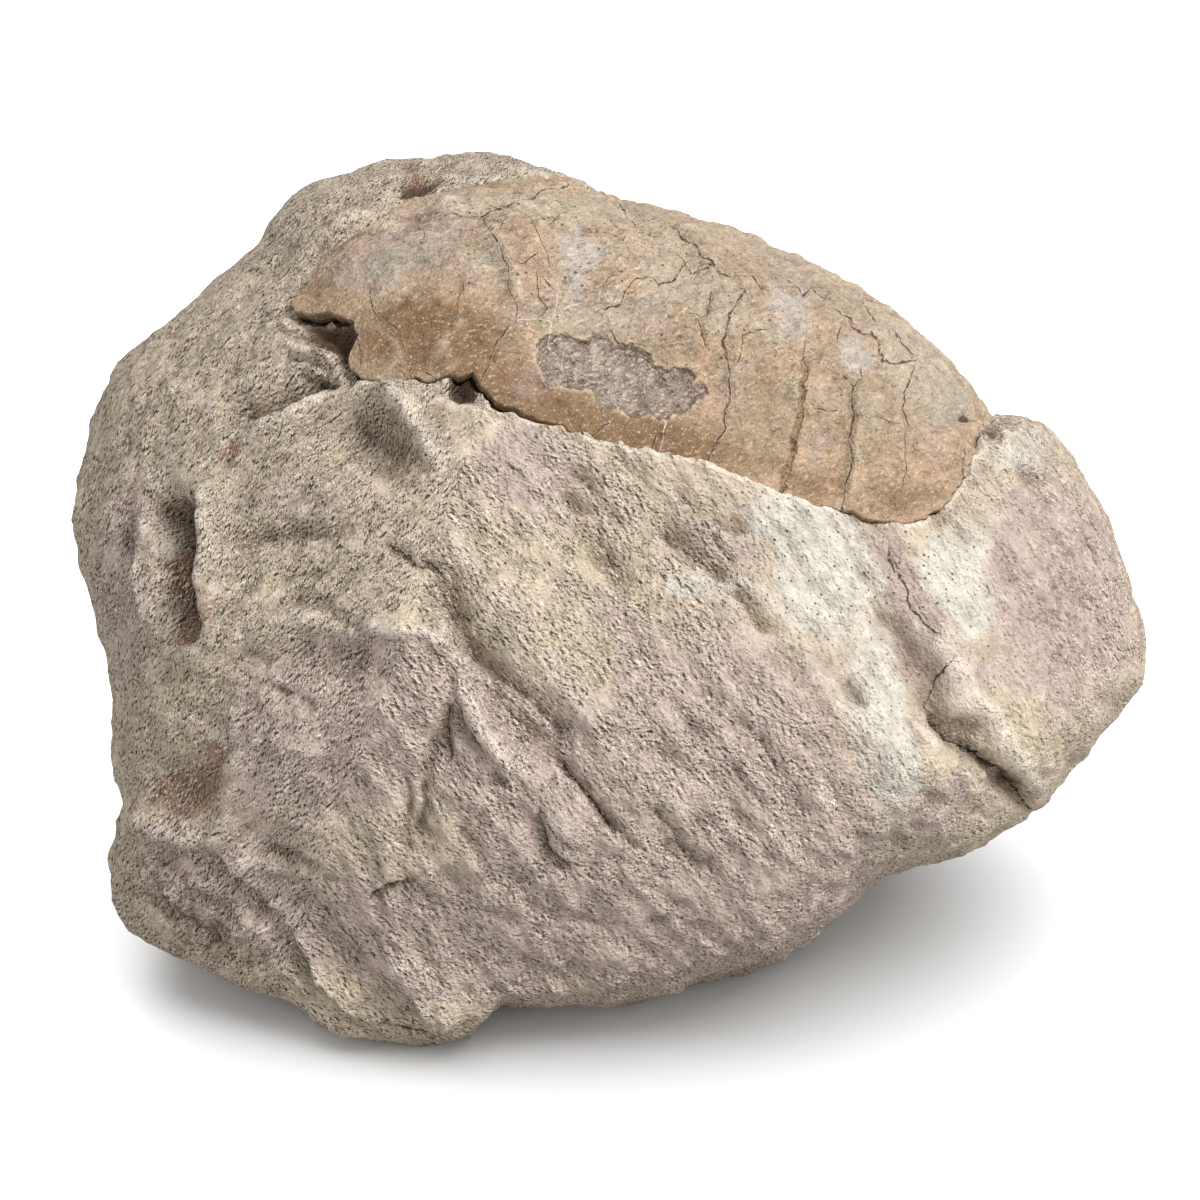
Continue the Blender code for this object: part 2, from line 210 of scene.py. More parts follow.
def outward(direction, step=0.02):
    """Unit normals of the smooth block, from four points close by."""
    helper = np.where(np.abs(direction[:, 1:2]) < 0.9, [[0.0, 1.0, 0.0]], [[1.0, 0.0, 0.0]])
    first = unit(np.cross(direction, helper))
    second = np.cross(direction, first)
    ends = [bare_surface(unit(direction + step * way))[0] for way in (first, -first, second, -second)]
    return unit(np.cross(ends[0] - ends[1], ends[2] - ends[3]))


def from_drawing(points, behind=False):
    """Directions whose drawn places are these points, on the front or on the back of the block."""
    angle, distance = polar(points)
    share = np.full(len(distance), 0.8)
    # The reach depends on the share, so a dozen rounds let the two settle.
    for _ in range(12):
        share = np.clip(distance / reach(angle, share), 0, 0.9999)
    turn = np.radians(angle)
    out = np.sqrt(1 - share**2) * (-1 if behind else 1)
    return np.stack([share * np.cos(turn), share * np.sin(turn), out], axis=1)


front_point = bare_surface(np.array([[0.0, 0.0, 1.0]]))[0][0]
print("the block's front point in mm:", front_point.round(1))

# %% [markdown]
# ## A grid about the shell's crown
# Both surfaces share one idea: rings round the highest place of the shell, like the rings of latitude
# on a globe. One ring is the ragged edge of the bone. Because that edge is a line of the grid, the
# rock can step down beside it cleanly, with no cut and no jagged triangles.

# %% The shell's edge
CROWN_TILT = 68.0
CROWN_TURN = 70.0
SHELL_EDGE = [
    (-4, 118), (-23, 120), (-37, 118.5), (-47, 117), (-56, 112), (-63, 107.5), (-70, 102), (-77, 96.5),
    (-83.5, 91), (-87.5, 87.5), (-89.5, 83.5), (-86, 80.8), (-77, 80), (-70.5, 79.5), (-69, 74),
    (-72, 68), (-71, 64), (-66, 62), (-60, 61), (-54, 62), (-48, 61), (-42.5, 59.5), (-41.5, 64),
    (-37.5, 64.5), (-35.5, 60), (-34, 58), (-28, 54), (-22, 50.5), (-14, 49.5), (-9, 47), (-3, 45.5),
    (3, 43.5), (15, 41), (26, 38.5), (37, 34.5), (50, 30), (60, 26.5), (69, 25), (78, 22), (87, 21),
    (93, 23), (99, 27), (103, 34), (106, 40), (107.5, 45.5), (108, 48.5), (108.5, 50.5),
]
SHELL_EDGE_BEHIND = [(106.5, 56), (100, 65), (87, 73), (69, 84), (48, 95), (28, 103), (11, 110)]
# How much closer together the grid's columns are at the front
COLUMN_CROWDING = 0.4

tilt = math.radians(CROWN_TILT)
turn = math.radians(CROWN_TURN)
CROWN = np.array([math.sin(tilt) * math.cos(turn), math.sin(tilt) * math.sin(turn), math.cos(tilt)])
TO_FRONT = unit(np.array([0.0, 0.0, 1.0]) - CROWN * CROWN[2])
TO_SIDE = np.cross(CROWN, TO_FRONT)


def about_crown(away, around):
    """The direction at `away` degrees from the crown, `around` degrees round it from the front."""
    away, around = np.radians(away)[:, None], np.radians(around)[:, None]
    return np.cos(away) * CROWN + np.sin(away) * (np.cos(around) * TO_FRONT + np.sin(around) * TO_SIDE)


def shell_edge(around, spread):
    """Degrees from the crown to the shell's edge, averaged over `spread` degrees to each side."""
    corners = np.concatenate([from_drawing(SHELL_EDGE), from_drawing(SHELL_EDGE_BEHIND, behind=True)])
    corner_around = np.degrees(np.arctan2(corners @ TO_SIDE, corners @ TO_FRONT))
    corner_away = np.degrees(np.arccos(corners @ CROWN))
    order = np.argsort(corner_around)
    return spread_mean(around, spread, 9, (corner_around[order], corner_away[order]))


def columns_round(count):
    """Turns about the crown, in degrees, with the columns closer together at the front."""
    turned = np.linspace(0, 2 * math.pi, count, endpoint=False)
    return np.degrees(turned - COLUMN_CROWDING * np.sin(turned))


print("the crown points to", (CROWN[0] * RIGHT + CROWN[1] * UP + CROWN[2] * OUT).round(2))

# %% [markdown]
# ## Random swells
# Stone is never smooth, and its roughness has many sizes at once. Gradient noise gives swells of one
# size: a random slope at each corner of a lattice, blended smoothly between the corners. It is worked
# out from the lattice's whole numbers, so it comes out the same on every run.

# %% Noise
# Large whole numbers that scatter the bits of a cell and its seed
CELL_FACTORS = np.array([374761393, 668265263, 1274126177])
SEED_FACTOR = 974711
BIT_FOLDS = [(13, 1103515245), (16, 2654435761)]
# These bring each kind of swell to about -1 to 1. A terrace is flat but for its steep edge.
LUMP_GAIN = 1.6
CREASE_GAIN = 3.2
TERRACE_STEEPNESS = 2.2


def scatter(cell, seed):
    """A number from 0 to 1 for each whole-numbered cell, by multiplying and folding its bits."""
    mixed = (cell @ CELL_FACTORS + seed * SEED_FACTOR) & 0xFFFFFFFF
    for shift, factor in BIT_FOLDS:
        mixed = ((mixed ^ (mixed >> shift)) * factor) & 0xFFFFFFFF
    return ((mixed >> 8) & 0xFFFF) / 65535.0


def lumpiness(points, size, seed):
    """Smooth random swells about `size` apart, roughly from -1 to 1: gradient noise."""
    scaled = points / size
    cell = np.floor(scaled).astype(np.int64)
    inside = scaled - cell
    fade = inside**3 * (inside * (inside * 6 - 15) + 10)
    total = np.zeros(len(points))
    for corner in np.ndindex(2, 2, 2):
        around = scatter(cell + corner, seed) * 2 * math.pi
        height = scatter(cell + corner, seed + 57) * 2 - 1
        width = np.sqrt(1 - height**2)
        gradient = np.stack([width * np.cos(around), width * np.sin(around), height], axis=1)
        weight = np.prod(np.where(corner, fade, 1 - fade), axis=1)
        total += weight * np.sum(gradient * (inside - corner), axis=1)
    return LUMP_GAIN * total


def rubble(points, size, seed, octaves):
    """Swells with smaller swells on them: each octave has half the size and half the height."""
    layers = [lumpiness(points, size / 2**n, seed + 11 * n) / 2**n for n in range(octaves)]
    return np.sum(layers, axis=0)


def creases(points, size, seed):
    """Sharp crests between rounded dips, from -1 to 1: the fold of noise about zero."""
    return 1 - CREASE_GAIN * np.abs(lumpiness(points, size, seed))


def terraces(height, rise):
    """Turns gentle swells into broken steps of this rise, with rounded edges."""
    steps = height / rise
    level = np.floor(steps)
    return rise * (level + np.clip((steps - level - 0.5) * TERRACE_STEEPNESS + 0.5, 0, 1))


sample = np.random.default_rng(1).uniform(-100, 100, (500, 3))
swells = lumpiness(sample, 20, 1)
print("noise runs from", swells.min().round(2), "to", swells.max().round(2))

# %% [markdown]
# ## Folds, ledges and knobs
# These are the forms that a hand can point out. A fold is a bell curve of the distance to a line, so
# a positive one is a ridge and a negative one is a furrow. A ledge is a step along a line that fades
# out beside it. A groove has a sharp bottom and straight sides, steep on one side and gentle on the
# other, as broken rock has, and upside down it is a sharp crest. A knob is a bell with an oval plan.


# %% The listed forms
def along_and_across(drawn, turned):
    """Each place measured along a direction `turned` degrees from right, and across it."""
    turn = math.radians(turned)
    along = drawn @ np.array([math.cos(turn), math.sin(turn)])
    return along, drawn @ np.array([-math.sin(turn), math.cos(turn)])


def line_distance(drawn, line):
    """Distance to a line of straight runs, the side of it (+1 is left), and how far along it, 0 to 1."""
    line = np.array(line, float)
    runs = np.diff(line, axis=0)
    lengths = np.hypot(runs[:, 0], runs[:, 1])
    starts = np.concatenate([[0], np.cumsum(lengths)])
    nearest = np.full(len(drawn), np.inf)
    side = np.zeros(len(drawn))
    along = np.zeros(len(drawn))
    for start, run, length, before in zip(line, runs, lengths, starts):
        rest = drawn - start
        share = np.clip(rest @ run / length**2, 0, 1)
        gap = np.linalg.norm(rest - share[:, None] * run, axis=1)
        closer = gap < nearest
        nearest = np.where(closer, gap, nearest)
        side = np.where(closer, np.sign(run[0] * rest[:, 1] - run[1] * rest[:, 0]), side)
        along = np.where(closer, (before + share * length) / starts[-1], along)
    return nearest, side, along


def faded_ends(along, firmness):
    """0 at both ends of a line and 1 over its middle: a sine that is raised and cut off at 1."""
    return np.clip(firmness * np.sin(math.pi * along), 0, 1)


def fold(drawn, line, width, height):
    """A rounded ridge or furrow along a line: a bell curve of the distance to it."""
    return height * np.exp(-((line_distance(drawn, line)[0] / width) ** 2))


def ledge(drawn, line, width, height, fade):
    """A step that is higher on the line's left, fading out beside it and towards its ends."""
    distance, side, along = line_distance(drawn, line)
    beside = np.exp(-((distance / fade) ** 2))
    return 0.5 * height * np.tanh(side * distance / width) * beside * faded_ends(along, 1.8)


def groove(drawn, line, height, left, right):
    """A sharp line whose sides run straight down to nothing, each over its own width, like a roof."""
    distance, side, along = line_distance(drawn, line)
    return height * faded_ends(along, 2.5) * np.clip(1 - distance / np.where(side > 0, left, right), 0, 1)


def knob(drawn, centre, widths, height, turned=0):
    """A rounded knob or pit with an oval plan: a bell curve of the distance in half widths."""
    long, short = along_and_across(drawn - np.array(centre), turned)
    return height * np.exp(-((long / widths[0]) ** 2) - (short / widths[1]) ** 2)


def inside_distance(drawn, corners):
    """Distance to the border of a closed shape, positive inside it, by counting border crossings."""
    ring = np.array(corners + corners[:1], float)
    nearest = line_distance(drawn, ring)[0]
    crossings = np.zeros(len(drawn), int)
    for (x0, y0), (x1, y1) in zip(ring, ring[1:]):
        spans = (y0 > drawn[:, 1]) != (y1 > drawn[:, 1])
        rise = (y1 - y0) if y1 != y0 else 1.0
        crossings += spans & (drawn[:, 0] < x0 + (drawn[:, 1] - y0) * (x1 - x0) / rise)
    return np.where(crossings % 2 == 1, nearest, -nearest)


def sum_of(form, drawn, table):
    """The heights of every entry of a table, added up."""
    return sum(form(drawn, *entry) for entry in table.values())


def nearest_line(drawn, lines):
    """For the nearest of several lines: the distance with its side as a sign, and the plain distance."""
    signed = np.full(len(drawn), 99.0)
    near = np.full(len(drawn), 99.0)
    for line, width in lines:
        distance, side, _ = line_distance(drawn, line)
        scaled = distance / width
        closer = scaled < np.abs(signed)
        signed = np.where(closer, np.where(side < 0, -scaled, scaled), signed)
        near = np.where(closer, distance, near)
    return signed, near


print("a fold of height 2 at its own line:", fold(np.array([[0.0, 0.0]]), [(-5, 0), (5, 0)], 3, 2))

# %% [markdown]
# ## The rock's large forms
# These tables repeat the forms that the solid already has, so the fine surface follows it. The names
# say where each one is. A place is (right, up) in the drawing, in millimetres.

# %% Large folds, ledges and knobs of the rock
ROCK_FOLDS = {
    "left hollow": ([(-122, 27), (-118, 14), (-120, 3), (-117, -9)], 4.6, -13),
    "rib beside it": ([(-112, 26), (-111, 8), (-113, -8)], 6, 3),
    "outer wall of it": ([(-129, 22), (-128.5, 8), (-126, -6)], 3.2, 2.4),
    "crest left of the spur": ([(-60, 58), (-68, 58), (-82, 55), (-92, 51), (-104, 45)], 4, 3),
    "trough above it": ([(-104, 52), (-94, 55), (-84, 59)], 4, -5),
    "spur": ([(-59, 57), (-55, 50.5), (-50, 42.5), (-46, 37)], 4.5, 4),
    "crest of the lobe": ([(-113, -14), (-99, -9), (-85, -6), (-68, -8), (-47, -11)], 6, 3),
    "slanting valley": ([(-44, 0), (-39, -11), (-27, -28), (-14, -42)], 8, -5.5),
    "swelling above it": ([(-30, -5), (-20, -18), (-8, -28), (4, -38), (12, -52)], 11, 4),
    "crest below it": ([(-40, -25), (-35, -38), (-27, -48)], 5, 3),
    "valley beside the lobe": ([(-43, -20), (-44, -34), (-48, -46), (-52, -58), (-54, -71)], 6, -2.6),
    "upper groove": ([(-9, 33), (-6, 27), (0, 17), (6, 8)], 6, -4),
    "dent below the lip": ([(14, 21), (23, 15), (33, 10)], 6, -3),
    "end swelling": ([(132, 15), (127, 0), (127, -17)], 9, 3),
    "foot": ([(-58, -103), (-49, -108), (-43, -115)], 8, 4),
    "underside groove": ([(-96, -86), (-88, -92), (-81, -101), (-75, -106)], 6, -4),
}
ROCK_LEDGES = {
    "slope step": ([(-99, 17), (-89, 22), (-76, 23), (-60, 26)], 4, 4, 16),
    "side of the lobe": ([(-47, -10), (-42, -18), (-43, -30), (-46, -42)], 4, -3, 14),
    "undercut crest": ([(-60, -122), (-76, -108), (-88, -92), (-110, -77), (-135, -63)], 5, 7, 24),
    "right-hand step": ([(81, 12), (89, 1), (95, -20), (103, -33), (113, -41), (122, -60)], 4, 6, 18),
    "middle ledge": ([(16, -61), (20, -67), (25, -75), (29, -80)], 4, 4, 14),
    "lower ledge": ([(-14, -53), (-16, -64), (-15, -70), (-10, -76)], 4, 3, 12),
}
ROCK_KNOBS = {
    "bowl left of the spur": ((-66, 45), (14, 9), -6, -50),
    "hollow at the broken corner": ((-77, 63), (8, 4), -4, -12),
    "end bump": ((120, 46), (9, 7), 3, 0),
    "dent at the lower left": ((-118, -54), (10, 12), -5, 0),
    "dish in the right-hand step": ((107, -37), (5, 4), -3, -35),
}
LIP_LINE = [(-28, 53), (-23, 50), (-3, 45), (14, 41), (30, 37), (51, 30), (68, 25)]
LIP_HEIGHT = 3.2
LIP_WIDTH = 9.0


def large_rock_forms(drawn):
    """The sum of the large folds, ledges and knobs, and a lip that rises towards the shell's edge."""
    height = sum_of(fold, drawn, ROCK_FOLDS) + sum_of(ledge, drawn, ROCK_LEDGES)
    height += sum_of(knob, drawn, ROCK_KNOBS)
    distance, _, along = line_distance(drawn, LIP_LINE)
    ends = faded_ends(np.clip(along, 0.02, 0.98), 2)
    return height + LIP_HEIGHT * ends * np.exp(-((distance / LIP_WIDTH) ** 2))


print("large forms:", len(ROCK_FOLDS) + len(ROCK_LEDGES) + len(ROCK_KNOBS))

# %% [markdown]
# ## The rock's smaller forms
# A step nearer, the rock shows what broke and scraped it: sharp crests, steep little banks with a dark
# crease at their foot, furrows where a tool ran down the slope, and pits. Most of them are grooves. A
# groove is given from left to right or from the top down, so its left side is the upper or right one.

# %% Grooves and crests of the rock: course, height, width of the left side, width of the right side
ROCK_GROOVES = [
    # The spur and the slope left of it
    ([(-61, 60), (-57.5, 54), (-54, 47.5), (-50, 41), (-47, 36)], 5.2, 7, 2.2),
    ([(-104, 50), (-97, 52), (-91, 54.5), (-85, 57), (-80, 60)], -5.0, 9, 2),
    ([(-102, 47), (-97, 50), (-91, 52.5), (-87, 54), (-82, 57), (-75, 60), (-66, 61)], 1.8, 1.6, 6),
    ([(-99, 49), (-104, 43), (-108, 37)], -2.0, 3, 3),
    ([(-91, 79.5), (-84, 77.5), (-76, 75)], 2.0, 1.2, 3),
    ([(-92, 77), (-85, 75.5), (-76, 73)], -1.8, 1.2, 2.5),
    ([(-91, 74), (-84, 72), (-75, 70.5)], 2.2, 1.2, 3),
    ([(-91, 70), (-84, 68), (-77, 67)], -2.2, 1.2, 3),
    ([(-90, 67.5), (-84, 66.5), (-77, 64)], 1.6, 1.2, 2.5),
    ([(-87, 65.5), (-82, 64), (-75.5, 61.5)], -3.0, 1.6, 2.5),
    ([(-76, 63.5), (-71, 62.5), (-66, 61)], 1.8, 1.5, 2),
    ([(-98, 80), (-91, 81.5)], -1.6, 2, 2),
    ([(-72, 52), (-66, 48), (-60, 44)], -1.8, 3, 2),
    # The left hollow: its overhang, its rib and its outer rim
    ([(-130, 28), (-123, 28.5), (-112, 28)], -5.0, 2, 10),
    ([(-111, 29), (-112, 16), (-114, 2), (-118, -9), (-124, -19)], 2.8, 8, 2.5),
    ([(-129, 29), (-130, 15), (-129, 0), (-125, -12)], 2.0, 1.4, 5),
    ([(-127, 12), (-122, 9)], -1.6, 1.2, 2),
    ([(-127, 2), (-121, -1)], 1.6, 1.2, 2),
    ([(-137, 21), (-135, 15), (-132, 9)], -1.6, 2, 2),
    # The step and the creases above the lobe
    ([(-109, 15), (-100, 17), (-91, 19), (-80, 19), (-70, 20)], -3.0, 5, 1.5),
    ([(-96, 24), (-84, 27), (-72, 25)], -1.4, 5, 3),
    ([(-91, 1.5), (-85, -1), (-78, -4), (-72, -8), (-65, -9.5)], -3.4, 4.5, 2),
    ([(-92, 6), (-86, 7.5), (-80, 6)], -1.4, 3, 1.5),
    ([(-61, 16), (-56, 14), (-52, 10.5), (-49, 9)], -2.8, 1, 4),
    ([(-51, 12), (-47, 10), (-44, 7.5)], -2.4, 1.2, 3),
    ([(-45, 8), (-43, 1), (-41, -5), (-38, -9)], -2.6, 5, 1.5),
    # The slanting valley and its dark bank
    ([(-39, -8), (-34, -16), (-30, -21), (-24, -25), (-17, -31), (-12, -37), (-9, -44)], -4.4, 8, 3),
    ([(-13, -47), (-6, -54), (0, -62), (5, -68)], -3.4, 4, 1.2),
    ([(-13, -50), (-14, -56), (-12, -58), (-14, -62)], -1.2, 1, 1.6),
    # The lobe: the rim, its right side, and the creases on its face
    ([(-73, -9), (-60, -10), (-50, -11), (-45, -14), (-41, -19), (-41, -27)], 2.6, 6, 2.2),
    ([(-41, -18), (-42, -30), (-44, -38), (-43, -47)], -2.2, 1.6, 3.5),
    ([(-41, -30), (-39, -36), (-35, -41), (-29, -48), (-26, -55)], -3.6, 1.2, 4.5),
    ([(-47, -39), (-50, -48), (-51, -55), (-50, -60), (-54, -70)], -2.4, 3, 1.4),
    ([(-56, -49), (-54, -58), (-56, -66), (-54, -74)], -2.0, 1.5, 3),
    ([(-96, -23), (-88, -27), (-79, -31)], -2.2, 1.4, 4),
    ([(-84, -33), (-76, -40)], -1.2, 2, 2),
    ([(-94, -38), (-86, -41), (-77, -44)], 1.2, 1.5, 4),
    ([(-108, -17), (-100, -15), (-94, -19)], -1.4, 2, 4),
    ([(-40, -66), (-36, -70), (-33, -75)], -1.6, 2, 3),
    # The middle
    ([(-18, -61), (-16, -68), (-14, -72), (-8, -77)], -3.0, 1.2, 3.5),
    ([(14, -59), (20, -66), (24, -73), (30, -81)], -3.4, 6, 1.2),
    ([(4, -37), (12, -43), (20, -47), (29, -52)], -2.0, 4.5, 1.5),
    ([(19, -27), (24, -35), (29, -41)], -1.6, 3, 1.5),
    ([(-12, 30), (-5, 27), (1, 25.5), (9, 22)], -2.6, 3.5, 2),
    ([(-10, 38), (-4, 34), (0, 30)], -1.8, 3, 2),
    ([(-8, 22), (-3, 15), (2, 8)], -2.2, 5, 2),
    ([(19, 32), (27, 25.5), (33, 21.5), (42, 17.5)], -3.0, 4.5, 1.5),
    ([(16, 21), (24, 15), (30, 11), (38, 4)], -2.8, 4.5, 1.5),
    ([(32, 19), (35, 14), (39, 10)], -1.5, 1.2, 1.2),
    ([(37, 3), (42, -3), (46, -8), (52, -11)], -3.0, 4, 1.2),
    ([(60, -16), (67, -22), (72, -30)], -1.6, 3, 2),
    ([(70, -23), (75, -32)], -3.2, 3, 2),
    # The right-hand step, the undercut block and the end
    ([(76, 2), (84, -7), (90, -15), (94, -19), (98, -25), (101, -33)], -2.6, 3, 6),
    ([(96, -31), (103, -40), (107, -42), (111, -46), (115, -50), (118, -52), (121, -60)], -4.6, 2.2, 4),
    ([(101, -34), (106, -34.5), (110, -38), (112, -43)], -3.0, 1.5, 4.5),
    ([(128, 42), (131, 27), (130, 10), (132, -4)], 1.8, 6, 6),
    ([(127, -16), (132, -22)], -1.4, 1.5, 2),
    ([(135, 2), (141, -6), (143, -16)], -1.2, 3, 3),
    # The lower left: the dark facet and its streaks, the patch above it, and the foot
    ([(-137, -62), (-128, -66), (-118, -68), (-109, -70), (-102, -77), (-95, -86), (-88, -96), (-80, -107),
      (-66, -120)], 5.0, 9, 3),
    ([(-101, -88), (-93, -90), (-88, -97), (-83, -105), (-77, -114)], -3.4, 2, 4.5),
    ([(-128, -70), (-112, -82), (-100, -94)], -1.8, 2, 4),
    ([(-130, -80), (-116, -90), (-104, -100)], -1.6, 2, 4),
    ([(-100, -73), (-92, -73.5), (-88, -75.5), (-81, -78)], -2.8, 1.2, 3.5),
    ([(-80, -80), (-71, -82)], -1.8, 1.2, 2.5),
    ([(-66, -87), (-60, -83), (-53, -82)], -2.8, 1.2, 3.5),
    ([(-62, -102), (-55, -109), (-50, -114), (-42, -122)], 3.0, 9, 4),
    ([(-62, -119), (-55, -121.5), (-46, -124.5)], -1.8, 1, 1.8),
    ([(-61, -99), (-52, -101), (-44, -107)], -1.6, 3, 2),
    ([(24, -92), (32, -98), (41, -101)], -1.8, 3, 2),
    ([(-22, -86), (-8, -92), (3, -95)], -1.6, 3, 2),
    ([(12, -93), (17, -93), (20, -90)], -1.6, 2, 2),
    # Above the shell on the left
    ([(-60, 117), (-53, 119), (-46, 120.5)], -4.6, 2.4, 1.6),
    ([(-72, 112), (-64, 111), (-58, 108)], -1.8, 3, 2),
    ([(-50, 124), (-43, 123.5), (-36, 121)], -2.2, 2, 2),
    ([(-92, 100), (-84, 102), (-78, 101)], -1.6, 3, 2),
    ([(-100, 88), (-93, 95), (-86, 100)], -2.4, 4, 2),
    ([(-84, 108), (-76, 114), (-68, 119)], -2.0, 2, 4),
    ([(-76, 106), (-70, 109), (-62, 113)], 2.0, 3, 2),
    ([(-98, 102), (-90, 108), (-82, 113)], 1.6, 5, 3),
    ([(-38, 116), (-30, 117), (-22, 121)], -2.0, 3, 2),
    ([(-110, 78), (-102, 84), (-96, 90)], -1.4, 4, 2),
]
print("grooves and crests:", len(ROCK_GROOVES))

# %% Rounded small forms and pits of the rock
SMALL_FOLDS = {
    "flute one": ([(-104, 72), (-92, 83)], 2.4, -1.0),
    "flute two": ([(-101, 62), (-88, 75)], 2.4, 1.0),
    "flute three": ([(-112, 62), (-100, 72)], 2.8, -1.1),
    "ledge below the lobe": ([(-97, -41), (-107, -51), (-110, -62)], 3.0, 1.6),
    "hollow under the rim": ([(-102, -22), (-85, -18), (-66, -20), (-54, -26)], 6.5, -2.2),
    "crest two": ([(-38, -27), (-34, -36), (-27, -46)], 2.8, 2.0),
    "furrow of the middle": ([(-2, -22), (10, -34), (22, -50)], 3.0, -1.0),
    "right-hand furrow": ([(30, -28), (44, -44), (56, -62)], 3.4, -1.2),
    "ridge beside it": ([(38, -26), (52, -42), (62, -56)], 3.6, 1.2),
}
SMALL_LEDGES = {
    "edge of the rusty patch": ([(-102, -42), (-108, -48), (-107, -57), (-110, -66)], 1.2, 3.0, 8),
    "lip of the middle ledge": ([(14, -58), (20, -66), (26, -76)], 1.4, 2.0, 7),
    "lip of the step": ([(92, -8), (96, -18), (99, -30), (106, -37), (113, -46), (121, -60)], 1.2, 3.4, 8),
}
ROCK_PITS = {
    "hollow under the bone": ((-77, 76), (8.5, 5), -6.5, -20),
    "back of that hollow": ((-73, 72), (3, 6), -3.5, 0),
    "small hole by the bone": ((-87, 82), (2.0, 1.6), -2.5, 30),
    "dark bowl": ((-57, 46), (6, 4), -2.4, -50),
    "knob over the left hollow": ((-111, 28.5), (4, 2.6), 2.0, 0),
    "dent": ((66, -1), (2.4, 1.8), -1.2, -40),
    "pit of the end bump": ((123, 34.5), (4.0, 2.0), -1.8, -10),
    "hole by the foot of the step": ((118, -54), (3, 3), -2.5, 0),
    "pit below the lobe": ((-38, -68), (3, 3), -1.6, 40),
    "yellow knob": ((-10, -64), (6, 6), 2.0, 0),
    "swelling of the lobe": ((-86, -40), (16, 12), 1.4, 0),
    "swelling of the middle": ((34, -16), (18, 10), 1.2, -40),
    "hole under the bone's edge": ((-38.5, 61), (3.6, 4.4), -6.5, 0),
}
print("small forms:", len(SMALL_FOLDS) + len(SMALL_LEDGES) + len(ROCK_PITS))

# %% [markdown]
# ## Cracks
# A crack is far finer than the grid, so it is made in two layers. The grid gets a soft furrow. On top
# of that each vertex stores how far it is from the nearest crack, with the side as a sign. Between
# two vertices that number passes through zero exactly where the crack runs, so the material can
# draw a hairline there, much sharper than the mesh.

# %% Crack lines of the rock
ROCK_CRACKS = [
    ([(82, 12.5), (84, 8), (86, 4), (88, 2), (89, -3), (92, -7), (95, -10)], 0.4),
    ([(98, -19), (97, -24), (95, -29), (98, -34), (103, -40), (107, -42), (111, -46)], 0.35),
    ([(111, -46), (114, -50), (118, -51), (121, -58)], 0.5),
    ([(-60, 15.5), (-56, 14), (-52, 10.5), (-50, 9.5)], 0.4),
    ([(-50, 11.5), (-47, 10), (-45, 8.5)], 0.4),
    ([(-61, -120), (-55, -122), (-47, -124.5)], 0.3),
    ([(-65, -86), (-60, -83.5), (-55, -82)], 0.35),
    ([(-10, -49), (-4, -56), (0, -62), (4, -67)], 0.35),
    ([(-17, -62), (-16, -68), (-14, -72), (-10, -75)], 0.35),
    ([(33, 18), (35, 14), (38, 11)], 0.25),
    ([(-40, -31), (-39, -36), (-35, -41)], 0.3),
    ([(-43, -31), (-44, -38), (-43, -46)], 0.3),
]
# How far lines wander: strength and size of each of two noises, in millimetres
WANDER = [(0.9, 7, 0), (0.45, 2.6, 5)]
CRACK_FURROW = 0.8


def drawn_noise(drawn, size, seed):
    """A sideways move for each drawn place: two noises about `size` apart."""
    flat = np.column_stack([drawn, np.zeros(len(drawn))])
    return np.stack([lumpiness(flat, size, seed), lumpiness(flat, size, seed + 1)], axis=1)


def meander(drawn, seed):
    """The drawn places, each moved a little by noise, so that straight runs wander as cracks do."""
    return drawn + sum(strength * drawn_noise(drawn, size, seed + more) for strength, size, more in WANDER)


print("cracks in the rock:", len(ROCK_CRACKS))

# %% [markdown]
# ## The rock's relief
# Now the height over the bare block is one long sum. The listed forms count only on the front,
# where they were drawn. Everywhere there are terraces, which look broken, then creases and rubble of
# smaller size. Scratches are noise that is stretched along one direction: they slant down to the
# right over the front, and up to the right on the left slope, where a tool was drawn towards the bone.

# %% Height of the rock's relief
# Scratches of the front, then of the left slope: turn in degrees, length, width, seed, height
LONG_SCRATCHES = [(-54, 36, 7, 6, 1.6), (46, 24, 5, 7, 1.1)]
SHORT_SCRATCHES = [(-52, 9, 2.6, 8, 0.6), (42, 8, 2.6, 9, 0.5)]
# Towards the skyline and the underside the fine relief is worn down to this share.
WORN_SHARE = 0.6


def front_share(direction):
    """1 on the front of the block, 0 behind it, with a soft change at the rim."""
    return np.clip((direction[:, 2] + 0.12) / 0.2, 0, 1)


def left_slope(drawn):
    """1 over the slope left of the spur, 0 over the front, with a soft change between them."""
    return np.clip((-drawn[:, 0] - 42 + 0.35 * drawn[:, 1]) / 20, 0, 1)


def scratches(drawn, points, turned, length, width, seed):
    """Noise stretched along a direction in the drawing, with smaller scratches of half the size on it."""
    along, across = along_and_across(drawn, turned)
    stretched = np.stack([along / length, across / width, points @ OUT / (2.5 * width)], axis=1)
    return lumpiness(stretched, 1.0, seed) + 0.5 * lumpiness(stretched * 2.1, 1.0, seed + 3)


def scratched(drawn, points, table):
    """The front's scratches and the left slope's, each where it belongs."""
    front, left = [height * scratches(drawn, points, *sizes) for *sizes, height in table]
    slope = left_slope(drawn)
    return front * (1 - slope) + left * slope


